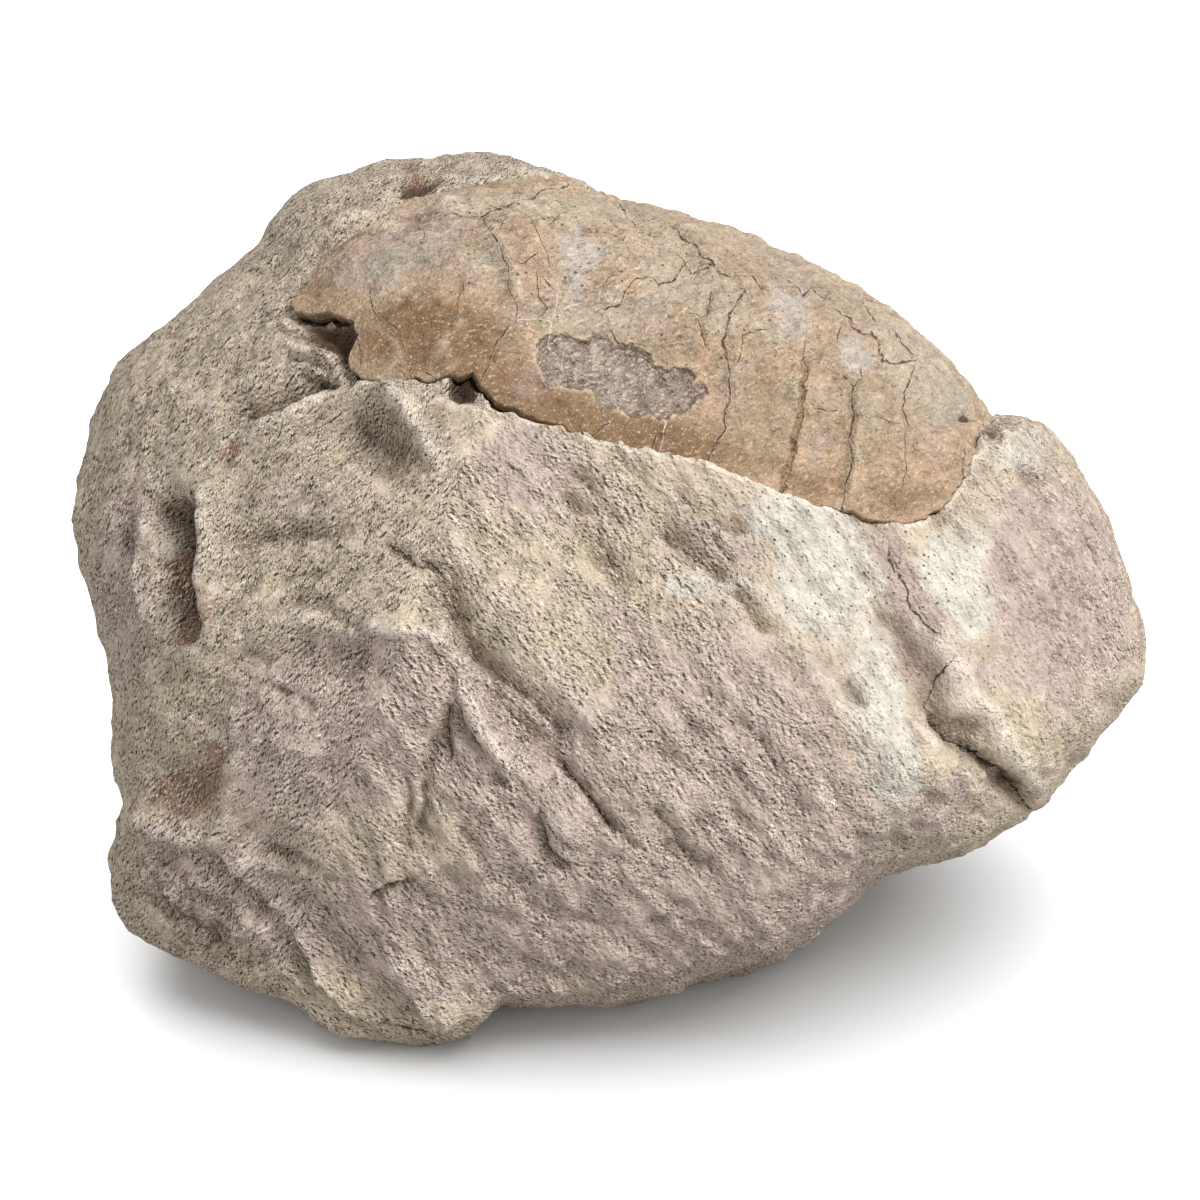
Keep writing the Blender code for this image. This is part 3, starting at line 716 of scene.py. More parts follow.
def rock_height(direction, points, drawn):
    """Large forms, small forms, terraces, creases, rubble and scratches, added up in millimetres."""
    on_front = front_share(direction)
    rough_way = meander(drawn, 33)
    small = sum(groove(rough_way, *entry) for entry in ROCK_GROOVES)
    small += sum_of(fold, drawn, SMALL_FOLDS) + sum_of(ledge, rough_way, SMALL_LEDGES)
    small += sum_of(knob, rough_way, ROCK_PITS)
    height = (large_rock_forms(drawn) + small) * on_front
    height += terraces(2.2 * lumpiness(points, 46, 1), 1.4) + 0.5 * lumpiness(points, 21, 2)
    # Behind, where no form is listed, the broken steps are bolder.
    height += (1 - on_front) * 1.6 * terraces(lumpiness(points, 30, 31) + 0.5, 0.5)
    height += 0.28 * creases(points, 10, 3)
    # Flakes came off along uneven lines and left steps about half a millimetre high.
    fine = terraces(1.4 * rubble(points, 19, 12, 4), 0.6)
    fine += 0.34 * rubble(points, 5.5, 4, 2)
    fine += terraces(scratched(drawn, points, LONG_SCRATCHES), 0.75)
    fine += scratched(drawn, points, SHORT_SCRATCHES)
    return height + fine * np.clip(np.abs(direction[:, 2]) / 0.3, WORN_SHARE, 1)


print("relief is measured out from the bare block")

# %% [markdown]
# ## Pigments
# The rock isn't one colour. Beige is the ground, with clouds of pinkish grey, pale green-grey, ochre
# yellow and rust. Each cloud is an oval with a strength. The vertices store the sum for each pigment,
# warped by noise, and the material decides the ragged border between them. Behind, three-dimensional
# noise spreads the same pigments.

# %% Clouds of pigment in the rock: centre, half widths, turn in degrees, strength
ROCK_PIGMENTS = {
    "pinkish": [
        ((-80, -38), (34, 28), 0, 1.1), ((-56, -20), (18, 9), 0, 1.0), ((-21, 36), (20, 16), -30, 0.8),
        ((37, -38), (38, 34), -30, 0.9), ((-20, -53), (20, 30), 20, 1.0), ((-84, 28), (13, 5), 0, 0.8),
        ((85, 6), (6, 15), 25, 1.0), ((92, -14), (5, 10), 25, 0.9), ((132, -6), (18, 30), 0, 0.8),
        ((-104, -85), (36, 15), -30, 0.7), ((11, -95), (54, 18), 8, 1.1), ((-134, 10), (9, 36), 0, 0.8),
        ((103, -22), (12, 4), 0, 0.6), ((52, -80), (28, 13), 32, 1.1), ((98, -60), (9, 8), 0, 0.8),
        ((128, 12), (20, 30), 0, 0.6), ((34, 17), (12, 4), -35, 0.8),
        ((-40, -92), (40, 12), 0, 0.8), ((5, -6), (4, 14), 35, 0.5), ((-89, 55), (7, 3), 25, 0.7),
        ((120, 12), (6, 20), 0, 0.6), ((-58, -104), (10, 6), -40, 0.5),
    ],
    "greenish": [
        ((61, 19), (22, 9), -25, 1.1), ((63, 1), (15, 13), 0, 1.0), ((103, 5), (12, 17), 0, 1.1),
        ((80, -25), (9, 16), -25, 1.0), ((27, 6), (12, 6), -10, 0.8), ((47, -72), (7, 10), 0, 1.0),
        ((83, -42), (9, 24), 8, 1.2), ((120, 42), (10, 7), 0, 0.7), ((62, -55), (6, 4), 0, 0.6),
        ((15, -64), (4, 4), 0, 0.6),
    ],
    "yellowish": [
        ((122, -42), (14, 16), -40, 1.0), ((6, 0), (34, 9), -55, 0.9), ((17, -82), (9, 10), 0, 0.9),
        ((-48, -50), (4, 12), 10, 1.0), ((-35, -35), (6, 7), 0, 1.0), ((-30, -12), (10, 16), 35, 0.7),
        ((-60, -85), (7, 4), 0, 0.9), ((-70, 8), (34, 13), 0, 0.5), ((-8, -24), (24, 12), -50, 0.7),
        ((-9, -65), (6, 6), 0, 0.9), ((-84, 40), (22, 12), 10, 0.5), ((-118, -30), (14, 24), 0, 0.8),
        ((-80, -105), (20, 8), -45, 0.8), ((-52, -110), (9, 8), -40, 0.7), ((112, -8), (8, 6), 0, 0.5),
        ((24, -20), (10, 16), -10, 0.5),
    ],
    "rusty": [
        ((-118, -55), (11, 9), 0, 0.95), ((-119, 6), (4.2, 18), 0, 1.8), ((-104, 43), (2, 6), -35, 0.8),
        ((-78, 72), (10, 6), -30, 0.6), ((-112, -5), (5, 6), 0, 0.5), ((-108, -46), (8, 3), -40, 0.6),
        ((-52, 120), (7, 2.4), 10, 0.9),
    ],
}
# Painted shade: dark brown clouds over the deep hollows and over a few faces turned from the lamp, where
# little light reaches.
PAINTED_SHADE_CLOUDS = [
    ((-77, 76.5), (9, 4.5), -18, 1.5), ((-72, 71), (3, 6), 0, 1.2), ((-119.5, 19), (3.2, 11), 6, 0.95),
    ((-118.5, -3), (3.0, 8), -6, 0.8),
    ((130, 0), (20, 40), 0, 0.42), ((-114, -89), (27, 11), -38, 0.6), ((118, 44), (8, 8), 0, 0.3),
    ((-38.5, 61), (4, 4.2), 0, 1.7), ((-93, 53), (11, 3), 25, 0.5), ((-57, 47), (7, 5), -50, 0.45),
    ((118, -54), (3, 2.5), 0, 1.0), ((106, -36), (5, 2.4), -20, 0.5), ((-52.5, 119), (5, 1.8), 10, 1.7),
    ((-80, 62), (5, 2), -25, 0.8), ((-14, -37), (9, 7), -40, 0.35), ((-48, 10), (2.6, 1.4), -20, 0.8),
    ((-61, -84), (5, 1.6), 15, 0.5), ((110, 46), (2.4, 3.4), 0, 1.0),
]
# The dark specks are closest together here.
SPECKLED = [((66, 10), (60, 30), -20, 1.0), ((60, -70), (50, 25), 30, 0.7), ((-20, -90), (50, 15), 0, 0.5)]
# Here the rock is smoother.
CALM_AREAS = [
    ((100, -5), (42, 55), 0, 1.1), ((36, 30), (36, 8), -25, 0.8), ((60, -2), (24, 22), 0, 0.7),
    ((30, -88), (50, 16), 20, 0.5), ((-104, -60), (10, 14), 0, 0.6), ((-36, 46), (22, 8), -30, 0.7),
]
# How noise spreads the pigments: the warp's strength, size and seed in front, and behind the middle,
# strength, size and seed of the noise, the step from one pigment's seed to the next, and their shares.
ROCK_SPREAD = {
    "warp": (5, 16, 71), "behind": (0.25, 0.9, 60, 80, 3),
    "shares": {"pinkish": 1.0, "greenish": 1.0, "yellowish": 1.0, "rusty": 0.3},
}


def clouds(drawn, entries):
    """The sum of several oval clouds of pigment."""
    return sum(knob(drawn, centre, widths, strength, turned) for centre, widths, turned, strength in entries)


def pigment_numbers(table, spread, direction, points, drawn):
    """The strength of each pigment at each vertex: the drawn clouds in front, noise behind."""
    on_front = front_share(direction)
    strength, size, seed = spread["warp"]
    warped = drawn + strength * drawn_noise(drawn, size, seed)
    middle, swing, size, seed, step = spread["behind"]
    numbers = {}
    for number, (name, entries) in enumerate(table.items()):
        behind = np.clip(middle + swing * rubble(points, size, seed + step * number, 2), 0, 1)
        behind *= spread["shares"][name]
        numbers[name] = clouds(warped, entries) * on_front + behind * (1 - on_front)
    return numbers


print("pigments:", list(ROCK_PIGMENTS))

# %% [markdown]
# ## From rings to a mesh
# A surface is a stack of rings with a single vertex at each end. Going down a ring and then round it
# turns the faces outwards. The whole mesh is put in as arrays, and numbers that the materials need
# ride along as attributes of the vertices.


# %% Build a closed surface from rings
def ring_faces(rings, columns):
    """Quads between neighbouring rings, and a fan of triangles at each pole."""
    here = np.arange(columns)
    after = (here + 1) % columns
    starts = (np.arange(rings - 1) * columns)[:, None]
    corners = [starts + here, starts + columns + here, starts + columns + after, starts + after]
    quads = np.stack(corners, axis=-1).reshape(-1, 4)
    top, bottom = rings * columns, rings * columns + 1
    last = (rings - 1) * columns
    top_fan = np.stack([np.full(columns, top), here, after], axis=1)
    bottom_fan = np.stack([last + here, np.full(columns, bottom), last + after], axis=1)
    return quads.tolist() + top_fan.tolist() + bottom_fan.tolist()


def closed_surface(name, points, columns, numbers):
    """A mesh from rings of points that ends in two pole points, with a number a vertex for each name."""
    mesh = bpy.data.meshes.new(name)
    rings = (len(points) - 2) // columns
    mesh.from_pydata((points * MM).tolist(), [], ring_faces(rings, columns))
    for label, values in numbers.items():
        mesh.attributes.new(label, "FLOAT", "POINT").data.foreach_set("value", values.astype(np.float32))
    mesh.shade_smooth()
    piece = bpy.data.objects.new(name, mesh)
    bpy.context.scene.collection.objects.link(piece)
    print(name, "has", len(mesh.vertices), "vertices and", len(mesh.polygons), "faces")
    return piece


def crests(height, columns, across, along):
    """How far each vertex stands above its neighbours' mean, so many rings and columns to each side."""
    grid = height[:-2].reshape(-1, columns)
    blurred = np.mean([np.roll(grid, n, axis=1) for n in range(-along, along + 1)], axis=0)
    padded = np.pad(blurred, ((across, across), (0, 0)), mode="edge")
    rows = [padded[n : n + len(grid)] for n in range(2 * across + 1)]
    return np.append((grid - np.mean(rows, axis=0)).ravel(), [0, 0])


def about_half(height, columns, gain, across, along):
    """Crests as a number from 0 to 1, where a half is level with its surroundings."""
    return np.clip(0.5 + gain * crests(height, columns, across, along), 0, 1)


print("a tiny surface of 3 rings has", len(ring_faces(3, 8)), "faces")

# %% [markdown]
# ## The rock's surface
# Eight rings line the bed under the bone. Then the grid steps up to the rock beside the bone and runs
# down over the block to the middle of its base. Points that would fall below the table are drawn in
# along the line to the middle, which leaves the flat base that the block stands on.

# %% Sizes of the rock's grid
ROCK_COLUMNS = 560
BED_ROWS = 8
OUTER_ROWS = 168
BONE_BED = 7.0
EDGE_SPREAD = 0.6
# Away from the bone the rings soon forget its ragged edge and follow this broad average of it.
BROAD_SPREAD = 14
# Most of the outer rows go to the sides, and the last few to the flat base.
ROW_SHARES = [0, 0.88, 1]
WAY_SHARES = [0, 0.72, 1]
ROW_POWER = 1.15
SHELL_KNOBS = {
    "bulge of the front plates": ((-42, 88), (26, 20), 1.6, 0),
    "worn hollow": ((27, 90), (9, 5), -2.6, -20),
    "stripped patch": ((14, 60), (20, 7), -2.0, 0),
    "rear swell": ((72, 58), (26, 22), 1.2, 0),
}
# Beside the bone the rock is cleared away, most of all along the proud edge on the left.
CLEARED = {
    "along the proud edge": ([(-88, 86), (-82, 95), (-73, 102), (-62, 109), (-50, 115)], 3.4, -2.6),
    "under the front corner": ([(-84, 82), (-76, 77), (-73, 68), (-70, 63)], 2.6, -2.0),
    "below the first plates": ([(-46, 60), (-38, 58), (-28, 53), (-21, 50), (-8, 46)], 1.8, -2.6),
    "beyond the tip": ([(95, 21), (102, 28), (107, 37), (110, 45), (111, 50)], 2.4, -1.6),
}
# Chips of the bone's edge: height in degrees, size in millimetres and seed of each noise
EDGE_RADIUS = 90.0
EDGE_CHIPS = [(0.4, 7, 21), (0.38, 3, 22), (0.25, 1.8, 23)]


def ragged_edge(around):
    """The shell's edge with small chips: its smooth course plus three noises along it."""
    turned = np.radians(around)
    circle = EDGE_RADIUS * np.stack([np.cos(turned), np.sin(turned), np.zeros(len(around))], axis=1)
    chipped = sum(height * lumpiness(circle, size, seed) for height, size, seed in EDGE_CHIPS)
    return shell_edge(around, EDGE_SPREAD) + chipped


def stand_on_base(points):
    """Draws what lies below the base in towards the middle, so that it lies flat in the base."""
    share = np.minimum(1, MIDDLE_HEIGHT / np.maximum(MIDDLE_HEIGHT - points[:, 2], 1e-6))
    points = MIDDLE + (points - MIDDLE) * share[:, None]
    points[:, 2] = np.where(share < 1, 0, points[:, 2])
    return points


def rock_grid():
    """Away and around of every vertex, and which of them lie in the bed."""
    around = columns_round(ROCK_COLUMNS)
    edge = ragged_edge(around)
    row_share = np.arange(OUTER_ROWS) / OUTER_ROWS
    beyond = np.interp(row_share**ROW_POWER, ROW_SHARES, WAY_SHARES)[:, None]
    course = edge + (shell_edge(around, BROAD_SPREAD) - edge) * np.clip(beyond * 5, 0, 1)
    outside = course + (180 - course) * beyond
    bed = edge * (np.arange(1, BED_ROWS + 1) / BED_ROWS)[:, None]
    away = np.append(np.concatenate([bed, outside]).ravel(), [0.0, 180.0])
    all_around = np.append(np.tile(around, BED_ROWS + OUTER_ROWS), [0.0, 0.0])
    in_bed = np.arange(len(away)) < bed.size
    # The last two vertices are the poles: the crown, which lies in the bed, and the middle of the base.
    in_bed[-2] = True
    return away, all_around, in_bed


rock_away, rock_around, in_bed = rock_grid()
print("the rock's grid has", len(rock_away), "vertices")

# %% Work out the rock's points
rock_direction = about_crown(rock_away, rock_around)
rock_bare, rock_drawn = bare_surface(rock_direction)
rock_normal = outward(rock_direction)
rock_front = front_share(rock_direction)
rock_signed, rock_near = nearest_line(meander(rock_drawn, 61), ROCK_CRACKS)
open_height = rock_height(rock_direction, rock_bare, rock_drawn)
open_height += sum_of(fold, rock_drawn, CLEARED) * rock_front
open_height -= CRACK_FURROW * np.exp(-(rock_near**2))
bed_height = sum_of(knob, rock_drawn, SHELL_KNOBS) - BONE_BED
rock_relief = np.where(in_bed, bed_height, open_height)
rock_points = stand_on_base(rock_bare + rock_normal * rock_relief[:, None])
print("relief from", rock_relief.min().round(1), "to", rock_relief.max().round(1), "mm")

# %% [markdown]
# ## The bone's cracks, sutures and plates
# A tortoise's shell is bony plates that meet in toothed sutures. In stone the plates have parted a
# little, and cracks cross them. Each line here has a half width. A few are open and filled with
# sandy rock, most are hairlines. Ledges along some of them let one plate stand higher than the next.

# %% Lines on the bone
BONE_CRACKS = [
    ([(-65, 88), (-64, 82), (-61, 78), (-57, 74), (-55, 71), (-54, 66), (-53, 63)], 0.35),
    ([(-38, 89), (-40, 84), (-41, 79), (-46, 74), (-50, 70), (-53, 66)], 0.3),
    ([(-50, 65), (-48, 63), (-45, 60)], 0.4),
    ([(-19, 106), (-17, 101), (-15, 98), (-14, 94)], 0.3),
    ([(-22, 95), (-18, 97)], 0.3),
    ([(-18, 92), (-18, 90), (-17, 85), (-15, 83), (-17, 81)], 0.3),
    ([(-16, 91), (-13, 87)], 0.3),
    ([(-10, 110), (-14, 107)], 0.3),
    ([(-26, 77), (-29, 73), (-32, 65), (-34, 61)], 0.45),
    ([(-52, 109), (-43, 109), (-34, 108)], 0.25),
    ([(-52, 109), (-50, 105), (-50, 102)], 0.25),
    ([(-33, 109), (-26, 112), (-20, 114), (-16, 116), (-7, 117), (-4, 115)], 0.35),
    ([(-25, 112), (-28, 105)], 0.25),
    ([(-34, 109), (-32, 105), (-28, 99), (-26, 94), (-26, 88), (-24, 83), (-24, 80)], 0.3),
    ([(-10, 54), (-8, 50), (-5, 46)], 0.35),
    ([(-1, 57), (1, 53), (2, 50), (0, 48), (-3, 45)], 0.35),
    ([(16, 53), (17, 51), (16, 47), (14, 41)], 0.5),
    ([(41, 88), (39, 85), (38, 83), (36, 78), (35, 74), (36, 66), (37, 61), (36, 53), (35, 48), (33, 45),
      (30, 37)], 0.6),
    ([(71, 59), (71, 56), (72, 53), (71, 46), (71, 39), (69, 25)], 0.45),
    ([(69, 63), (71, 59), (74, 63), (74, 66)], 0.35),
    ([(103, 41), (103, 33), (101, 28)], 0.55),
    ([(87, 46), (86, 33)], 0.25),
    ([(6, 112), (9, 109), (10, 107)], 0.3),
    ([(3, 108), (7, 105), (13, 105), (16, 103)], 0.35),
    ([(20, 106), (25, 102), (31, 97), (34, 94)], 0.45),
    ([(23, 99), (25, 97), (21, 93), (18, 91), (14, 92), (11, 90), (9, 89), (8, 87), (5, 84), (2, 83)], 0.4),
    ([(3, 76), (5, 73), (8, 72), (16, 67)], 0.3),
    ([(25, 97), (27, 95), (31, 96)], 0.35),
    ([(34, 94), (37, 93), (40, 92), (43, 92), (46, 88)], 0.4),
    ([(32, 89), (31, 86), (31, 82), (28, 79), (29, 76), (30, 72)], 0.4),
    ([(40, 75), (40, 71), (39, 67)], 0.35),
    ([(40, 75), (47, 76)], 0.3),
    ([(66, 83), (69, 81), (72, 77), (74, 76), (77, 75), (79, 73), (79, 70), (80, 68), (83, 67),
      (88, 67)], 0.6),
    ([(75, 83), (79, 78), (83, 73), (87, 69)], 0.3),
    ([(68, 77), (67, 74), (68, 73)], 0.35),
    ([(55, 89), (58, 87), (60, 89), (63, 86)], 0.35),
    ([(88, 65), (87, 61), (86, 57), (86, 54), (88, 49)], 0.3),
    ([(62, 54), (67, 53)], 0.3),
    ([(79, 51), (83, 50)], 0.3),
    ([(-68, 79), (-69, 76), (-68, 70), (-68, 66)], 0.3),
]
# The widest suture is open and filled with sandy rock.
SANDY_SUTURE = [(58, 67), (58, 63), (57, 57), (57, 54), (56, 48), (55, 42), (52, 31)]
SANDY_HALF_WIDTH = 0.95
# White mineral fills these.
WHITE_VEINS = [
    ([(-24, 80), (-17, 79), (-14, 79)], 0.4),
    ([(-12, 86), (-14, 79), (-14, 74), (-14, 71)], 0.45),
    ([(-6, 84), (-8, 83), (-11, 82)], 0.35),
    ([(18, 52), (19, 50), (18, 46), (17, 42)], 0.35),
]
PLATE_LEDGES = {
    "first plate": ([(-65, 88), (-61, 78), (-55, 71), (-53, 63)], 1.2, -1.0, 7),
    "second plate": ([(-38, 89), (-41, 79), (-50, 70), (-53, 66)], 1.0, 0.8, 6),
    "third plate": ([(-34, 109), (-28, 99), (-26, 88), (-24, 80)], 1.0, 0.9, 6),
    "ragged plate": ([(41, 88), (36, 78), (36, 66), (36, 53), (30, 37)], 1.0, 1.2, 8),
    "sandy suture": ([(58, 67), (57, 57), (56, 48), (52, 31)], 1.0, 0.8, 8),
    "shaded plate": ([(69, 63), (72, 53), (71, 40), (69, 25)], 1.0, 1.8, 8),
    "last plate": ([(103, 41), (103, 33), (101, 28)], 1.0, 1.2, 6),
    "wedge": ([(23, 99), (25, 97), (18, 91), (9, 89), (5, 84), (2, 81)], 0.9, -1.7, 6),
    "long wedge": ([(20, 106), (25, 102), (34, 94)], 0.9, 1.5, 6),
    "open crack": ([(66, 83), (72, 77), (79, 73), (80, 68), (88, 67)], 1.0, 1.8, 7),
    "hollow's edge": ([(32, 89), (31, 82), (29, 77), (30, 72)], 1.0, 1.8, 6),
}
BONE_HOLLOWS = {
    "pit of the crumbled end": ((104, 52), (2.0, 1.6), -2.0, 0),
    "notch of the tip": ((109, 45), (2.6, 2.0), -3.0, 0),
    "grey-green hollow": ((26, 91), (4.5, 4.0), -1.0, 0),
    "raised fragment": ((33, 78), (2.6, 4.4), 0.9, -15),
    "second fragment": ((36, 86), (4.0, 3.0), 0.7, 0),
    "dip of the stripped patch": ((10, 55), (7, 3.0), -0.7, -10),
    "ridge of the stripped patch": ((10, 71), (7, 1.4), 0.7, -35),
}
STRIPPED_PATCHES = [
    [(-19, 72), (-13, 75), (-4, 75), (4, 73), (12, 70), (19, 67), (25, 65), (31, 60), (30, 56), (21, 54),
     (17, 52), (13, 52), (5, 53), (-1, 57), (-7, 60), (-16, 61)],
]
# Higher up the skin is only worn thin, which leaves paler patches.
PALE_PATCHES = [
    [(-12, 104), (-6, 107), (1, 103), (1, 96), (-3, 92), (-5, 87), (-9, 86), (-11, 90), (-10, 96)],
    [(48, 88), (54, 90), (59, 84), (58, 76), (53, 76), (49, 81)],
    [(68, 73), (73, 76), (77, 70), (76, 63), (72, 64), (70, 69)],
]
print("lines on the bone:", len(BONE_CRACKS) + len(WHITE_VEINS) + 1)

# %% [markdown]
# ## The bone's surface
# The bone is one closed sheet: rings run from the crown out to the edge, turn over the rim, and come
# back underneath. The rim follows the same ragged line as the rock's bed, a little inside it, which
# leaves the narrow dark gap that makes the bone look like a separate thing.

# %% Sizes of the bone's grid
BONE_COLUMNS = 480
BONE_OUTER_ROWS = 170
BONE_INNER_ROWS = 18
BONE_THICKNESS = 5.8
BONE_GAP = 0.25
# Here the gap is wider: centre, half widths, extra gap
WIDE_GAPS = [((-27, 54), (17, 12), 1.0), ((-79, 80), (8, 4), 0.8)]
RIM_TURNS = [20, 50, 80, 110, 140]
RIM_RADIUS = 0.4
# The rim's wall goes on down below its round, this far for each radian of its turn.
WALL_DEPTH = 2.2
WALL_START = -2.6
# Depth of the stripped patches, and of the skin that is worn thin
PATCH_DEPTH = 1.3
PALE_DEPTH = 0.5
# Along each kind of line: height, half width and sharpness of the bell curve
CRACK_BELL = (-0.3, 0.7, 2)
SUTURE_BELL = (-0.45, 1.1, 4)
VEIN_BELL = (0.25, 0.8, 2)


def bell(distance, height, width, sharpness):
    """A bell curve of the distance, the sharper the more its sides are like walls."""
    return height * np.exp(-((distance / width) ** sharpness))


def bone_height(points, drawn):
    """Broad swells, plate ledges, furrows along the lines, sunken patches and fine crumbs."""
    lines = meander(drawn, 91)
    crack_side, crack_near = nearest_line(lines, BONE_CRACKS)
    vein_side, vein_near = nearest_line(lines, WHITE_VEINS)
    sandy, side, _ = line_distance(lines, SANDY_SUTURE)
    frayed = 2.6 * rubble(points, 6, 47, 3)
    patch, pale = [
        frayed + np.max([inside_distance(lines, corners) for corners in shapes], axis=0)
        for shapes in (STRIPPED_PATCHES, PALE_PATCHES)
    ]
    upper = np.clip((drawn[:, 1] + 0.35 * drawn[:, 0] - 62) / 25, 0, 1)
    height = sum_of(knob, drawn, SHELL_KNOBS) + sum_of(knob, drawn, BONE_HOLLOWS)
    height += sum_of(ledge, drawn, PLATE_LEDGES)
    height += bell(crack_near, *CRACK_BELL) + bell(sandy, *SUTURE_BELL) + bell(vein_near, *VEIN_BELL)
    height -= PATCH_DEPTH * np.clip((patch + 0.4) / 0.9, 0, 1) + PALE_DEPTH * np.clip((pale + 1) / 2, 0, 1)
    height += (0.22 + 1.2 * np.clip(patch, 0, 1) + 0.3 * upper) * rubble(points, 6, 41, 3)
    height += 0.35 * lumpiness(points, 17, 42)
    # Thin flakes have come off, mostly higher up, and left steps less than half a millimetre high.
    height += terraces((0.4 + 1.4 * upper) * rubble(points, 13, 44, 3), 0.45)
    height -= 1.4 * np.clip(lumpiness(points, 3.2, 43) - 0.42, 0, 1)
    numbers = {"crack_side": crack_side, "crack_near": crack_near, "vein_side": vein_side}
    numbers |= {"vein_near": vein_near, "sandy_side": np.where(side < 0, -sandy, sandy)}
    return height, numbers | {"patch": patch, "pale": pale}


def bone_grid():
    """Away, around and depth under the outer face of every vertex of the closed sheet."""
    around = columns_round(BONE_COLUMNS)
    edge = ragged_edge(around)
    slant = (shell_edge(around + 2, 2) - shell_edge(around - 2, 2)) / (4 * np.sin(np.radians(edge)))
    edge_points, edge_drawn = bare_surface(about_crown(edge, around))
    from_middle = np.linalg.norm(edge_points - MIDDLE, axis=1)
    degrees_a_mm = np.degrees(1 / from_middle) * np.hypot(1, slant)
    gap = BONE_GAP + sum(knob(edge_drawn, *entry) for entry in WIDE_GAPS)
    outer_edge = edge - (gap + RIM_RADIUS) * degrees_a_mm
    outer = outer_edge * (np.arange(1, BONE_OUTER_ROWS + 1) / BONE_OUTER_ROWS)[:, None]
    turns = np.radians(RIM_TURNS)[:, None]
    rim = outer_edge + RIM_RADIUS * np.sin(np.minimum(turns, math.pi / 2)) * degrees_a_mm
    round_depth = RIM_RADIUS * (1 - np.cos(turns))
    rim_depth = np.where(turns < math.pi / 2, round_depth, turns * WALL_DEPTH + WALL_START)
    inner = outer_edge * (np.arange(BONE_INNER_ROWS, 0, -1) / BONE_INNER_ROWS)[:, None]
    rows = [0 * outer, 0 * rim + rim_depth, 0 * inner + BONE_THICKNESS]
    depth = np.append(np.concatenate(rows).ravel(), [0.0, BONE_THICKNESS])
    away = np.append(np.concatenate([outer, rim, inner]).ravel(), [0.0, 0.0])
    return away, np.append(np.tile(around, len(away) // BONE_COLUMNS), [0.0, 0.0]), depth


bone_away, bone_around, bone_depth = bone_grid()
print("the bone's grid has", len(bone_away), "vertices")

# %% Work out the bone's points
bone_direction = about_crown(bone_away, bone_around)
bone_bare, bone_drawn = bare_surface(bone_direction)
bone_normal = outward(bone_direction)
outer_height, bone_numbers = bone_height(bone_bare, bone_drawn)
under_height = sum_of(knob, bone_drawn, SHELL_KNOBS)
under_share = np.clip(bone_depth / 3, 0, 1)
bone_relief = outer_height * (1 - under_share) + under_height * under_share - bone_depth
bone_points = bone_bare + bone_normal * bone_relief[:, None]
print("the bone's relief from", outer_height.min().round(1), "to", outer_height.max().round(1), "mm")

# %% [markdown]
# ## Clouds of colour on the bone
# Fresh bone plates are warm tan. Along the lower edge a deep tan darkens them, partly their own colour
# and partly painted shade where the edge dips under the rock. Towards the top a chalky bloom covers
# them, and pinkish grey shows where the outermost skin of the bone has gone.

# %% Pigments of the bone
BONE_PIGMENTS = {
    # Partly the plates' own colour and partly painted shade along the lower edge, where it dips under the
    # rock
    "deep tan": [
        ((-58, 74), (16, 10), 20, 0.7), ((-36, 66), (20, 9), -25, 0.9), ((-5, 50), (22, 8), -18, 1.2),
        ((24, 44), (16, 7), -20, 1.0), ((60, 33), (20, 6), -15, 0.6), ((90, 29), (12, 5), 0, 0.5),
        ((-80, 88), (8, 7), 0, 0.6), ((-38, 78), (16, 8), 0, 0.5), ((50, 62), (7, 10), 0, 0.35),
    ],
    "chalky": [
        ((17, 108), (44, 9), -14, 0.5), ((70, 88), (40, 8), -35, 0.5), ((-30, 112), (26, 5), 0, 0.6),
        ((34, 80), (4, 7), 0, 0.9), ((-14, 78), (8, 4), 0, 0.5), ((20, 92), (20, 8), -20, 0.7),
        ((62, 58), (12, 10), 0, 0.55), ((90, 64), (14, 12), -30, 0.8), ((4, 80), (14, 6), 0, 0.5),
        ((-14, 100), (10, 8), 0, 0.4), ((48, 78), (14, 8), -20, 0.6),
    ],
    "pinkish": [
        ((-56, 103), (24, 9), 25, 0.8), ((-38, 94), (14, 8), 0, 0.5), ((-8, 84), (16, 8), 0, 0.6),
        ((53, 90), (12, 6), -20, 0.6), ((72, 72), (8, 8), 0, 0.7), ((12, 78), (14, 6), -20, 0.7),
        ((92, 48), (8, 10), 0, 0.5), ((38, 60), (6, 9), 0, 0.5), ((-62, 92), (10, 6), 20, 0.7),
        ((62, 46), (4, 9), 0, 0.5), ((-22, 62), (8, 6), 0, 0.4), ((-44, 108), (18, 4), 10, 0.7),
    ],
    "greenish": [
        ((26, 91), (6, 5), 0, 1.0), ((-58, 96), (10, 6), 20, 0.7), ((100, 56), (7, 12), -30, 0.7),
        ((84, 76), (12, 6), -35, 0.6), ((-30, 96), (8, 7), 0, 0.6), ((14, 86), (10, 4), 0, 0.6),
        ((78, 52), (4, 8), 0, 0.4),
    ],
}
# Behind, chalk takes over.
BONE_SPREAD = {
    "warp": (3, 11, 95), "behind": (0.6, 1.0, 30, 97, 1),
    "shares": {"deep tan": 0.35, "chalky": 0.7, "pinkish": 0.4, "greenish": 0.25},
}
# Painted shade: the holes in the bone are darkened inside.
BONE_PAINTED_SHADE = [
    ((104, 52), (1.6, 1.4), 0, 1.0), ((109, 45), (2.4, 2.2), 0, 0.9),
    ((-52, 62), (1.6, 1.2), 0, 0.9), ((-44, 60), (3.0, 0.9), -20, 0.8), ((36, 70), (2.0, 5.0), 0, 0.4),
]
# Up here the surface of the bone is most worn.
WORN_TOP = [((0, 92), (60, 20), -15, 1.0)]
# Below this depth the bone's edge counts as its underside, which gets painted shade.
RIM_SHADE_DEPTH = 1.5
print("pigments of the bone:", list(BONE_PIGMENTS))
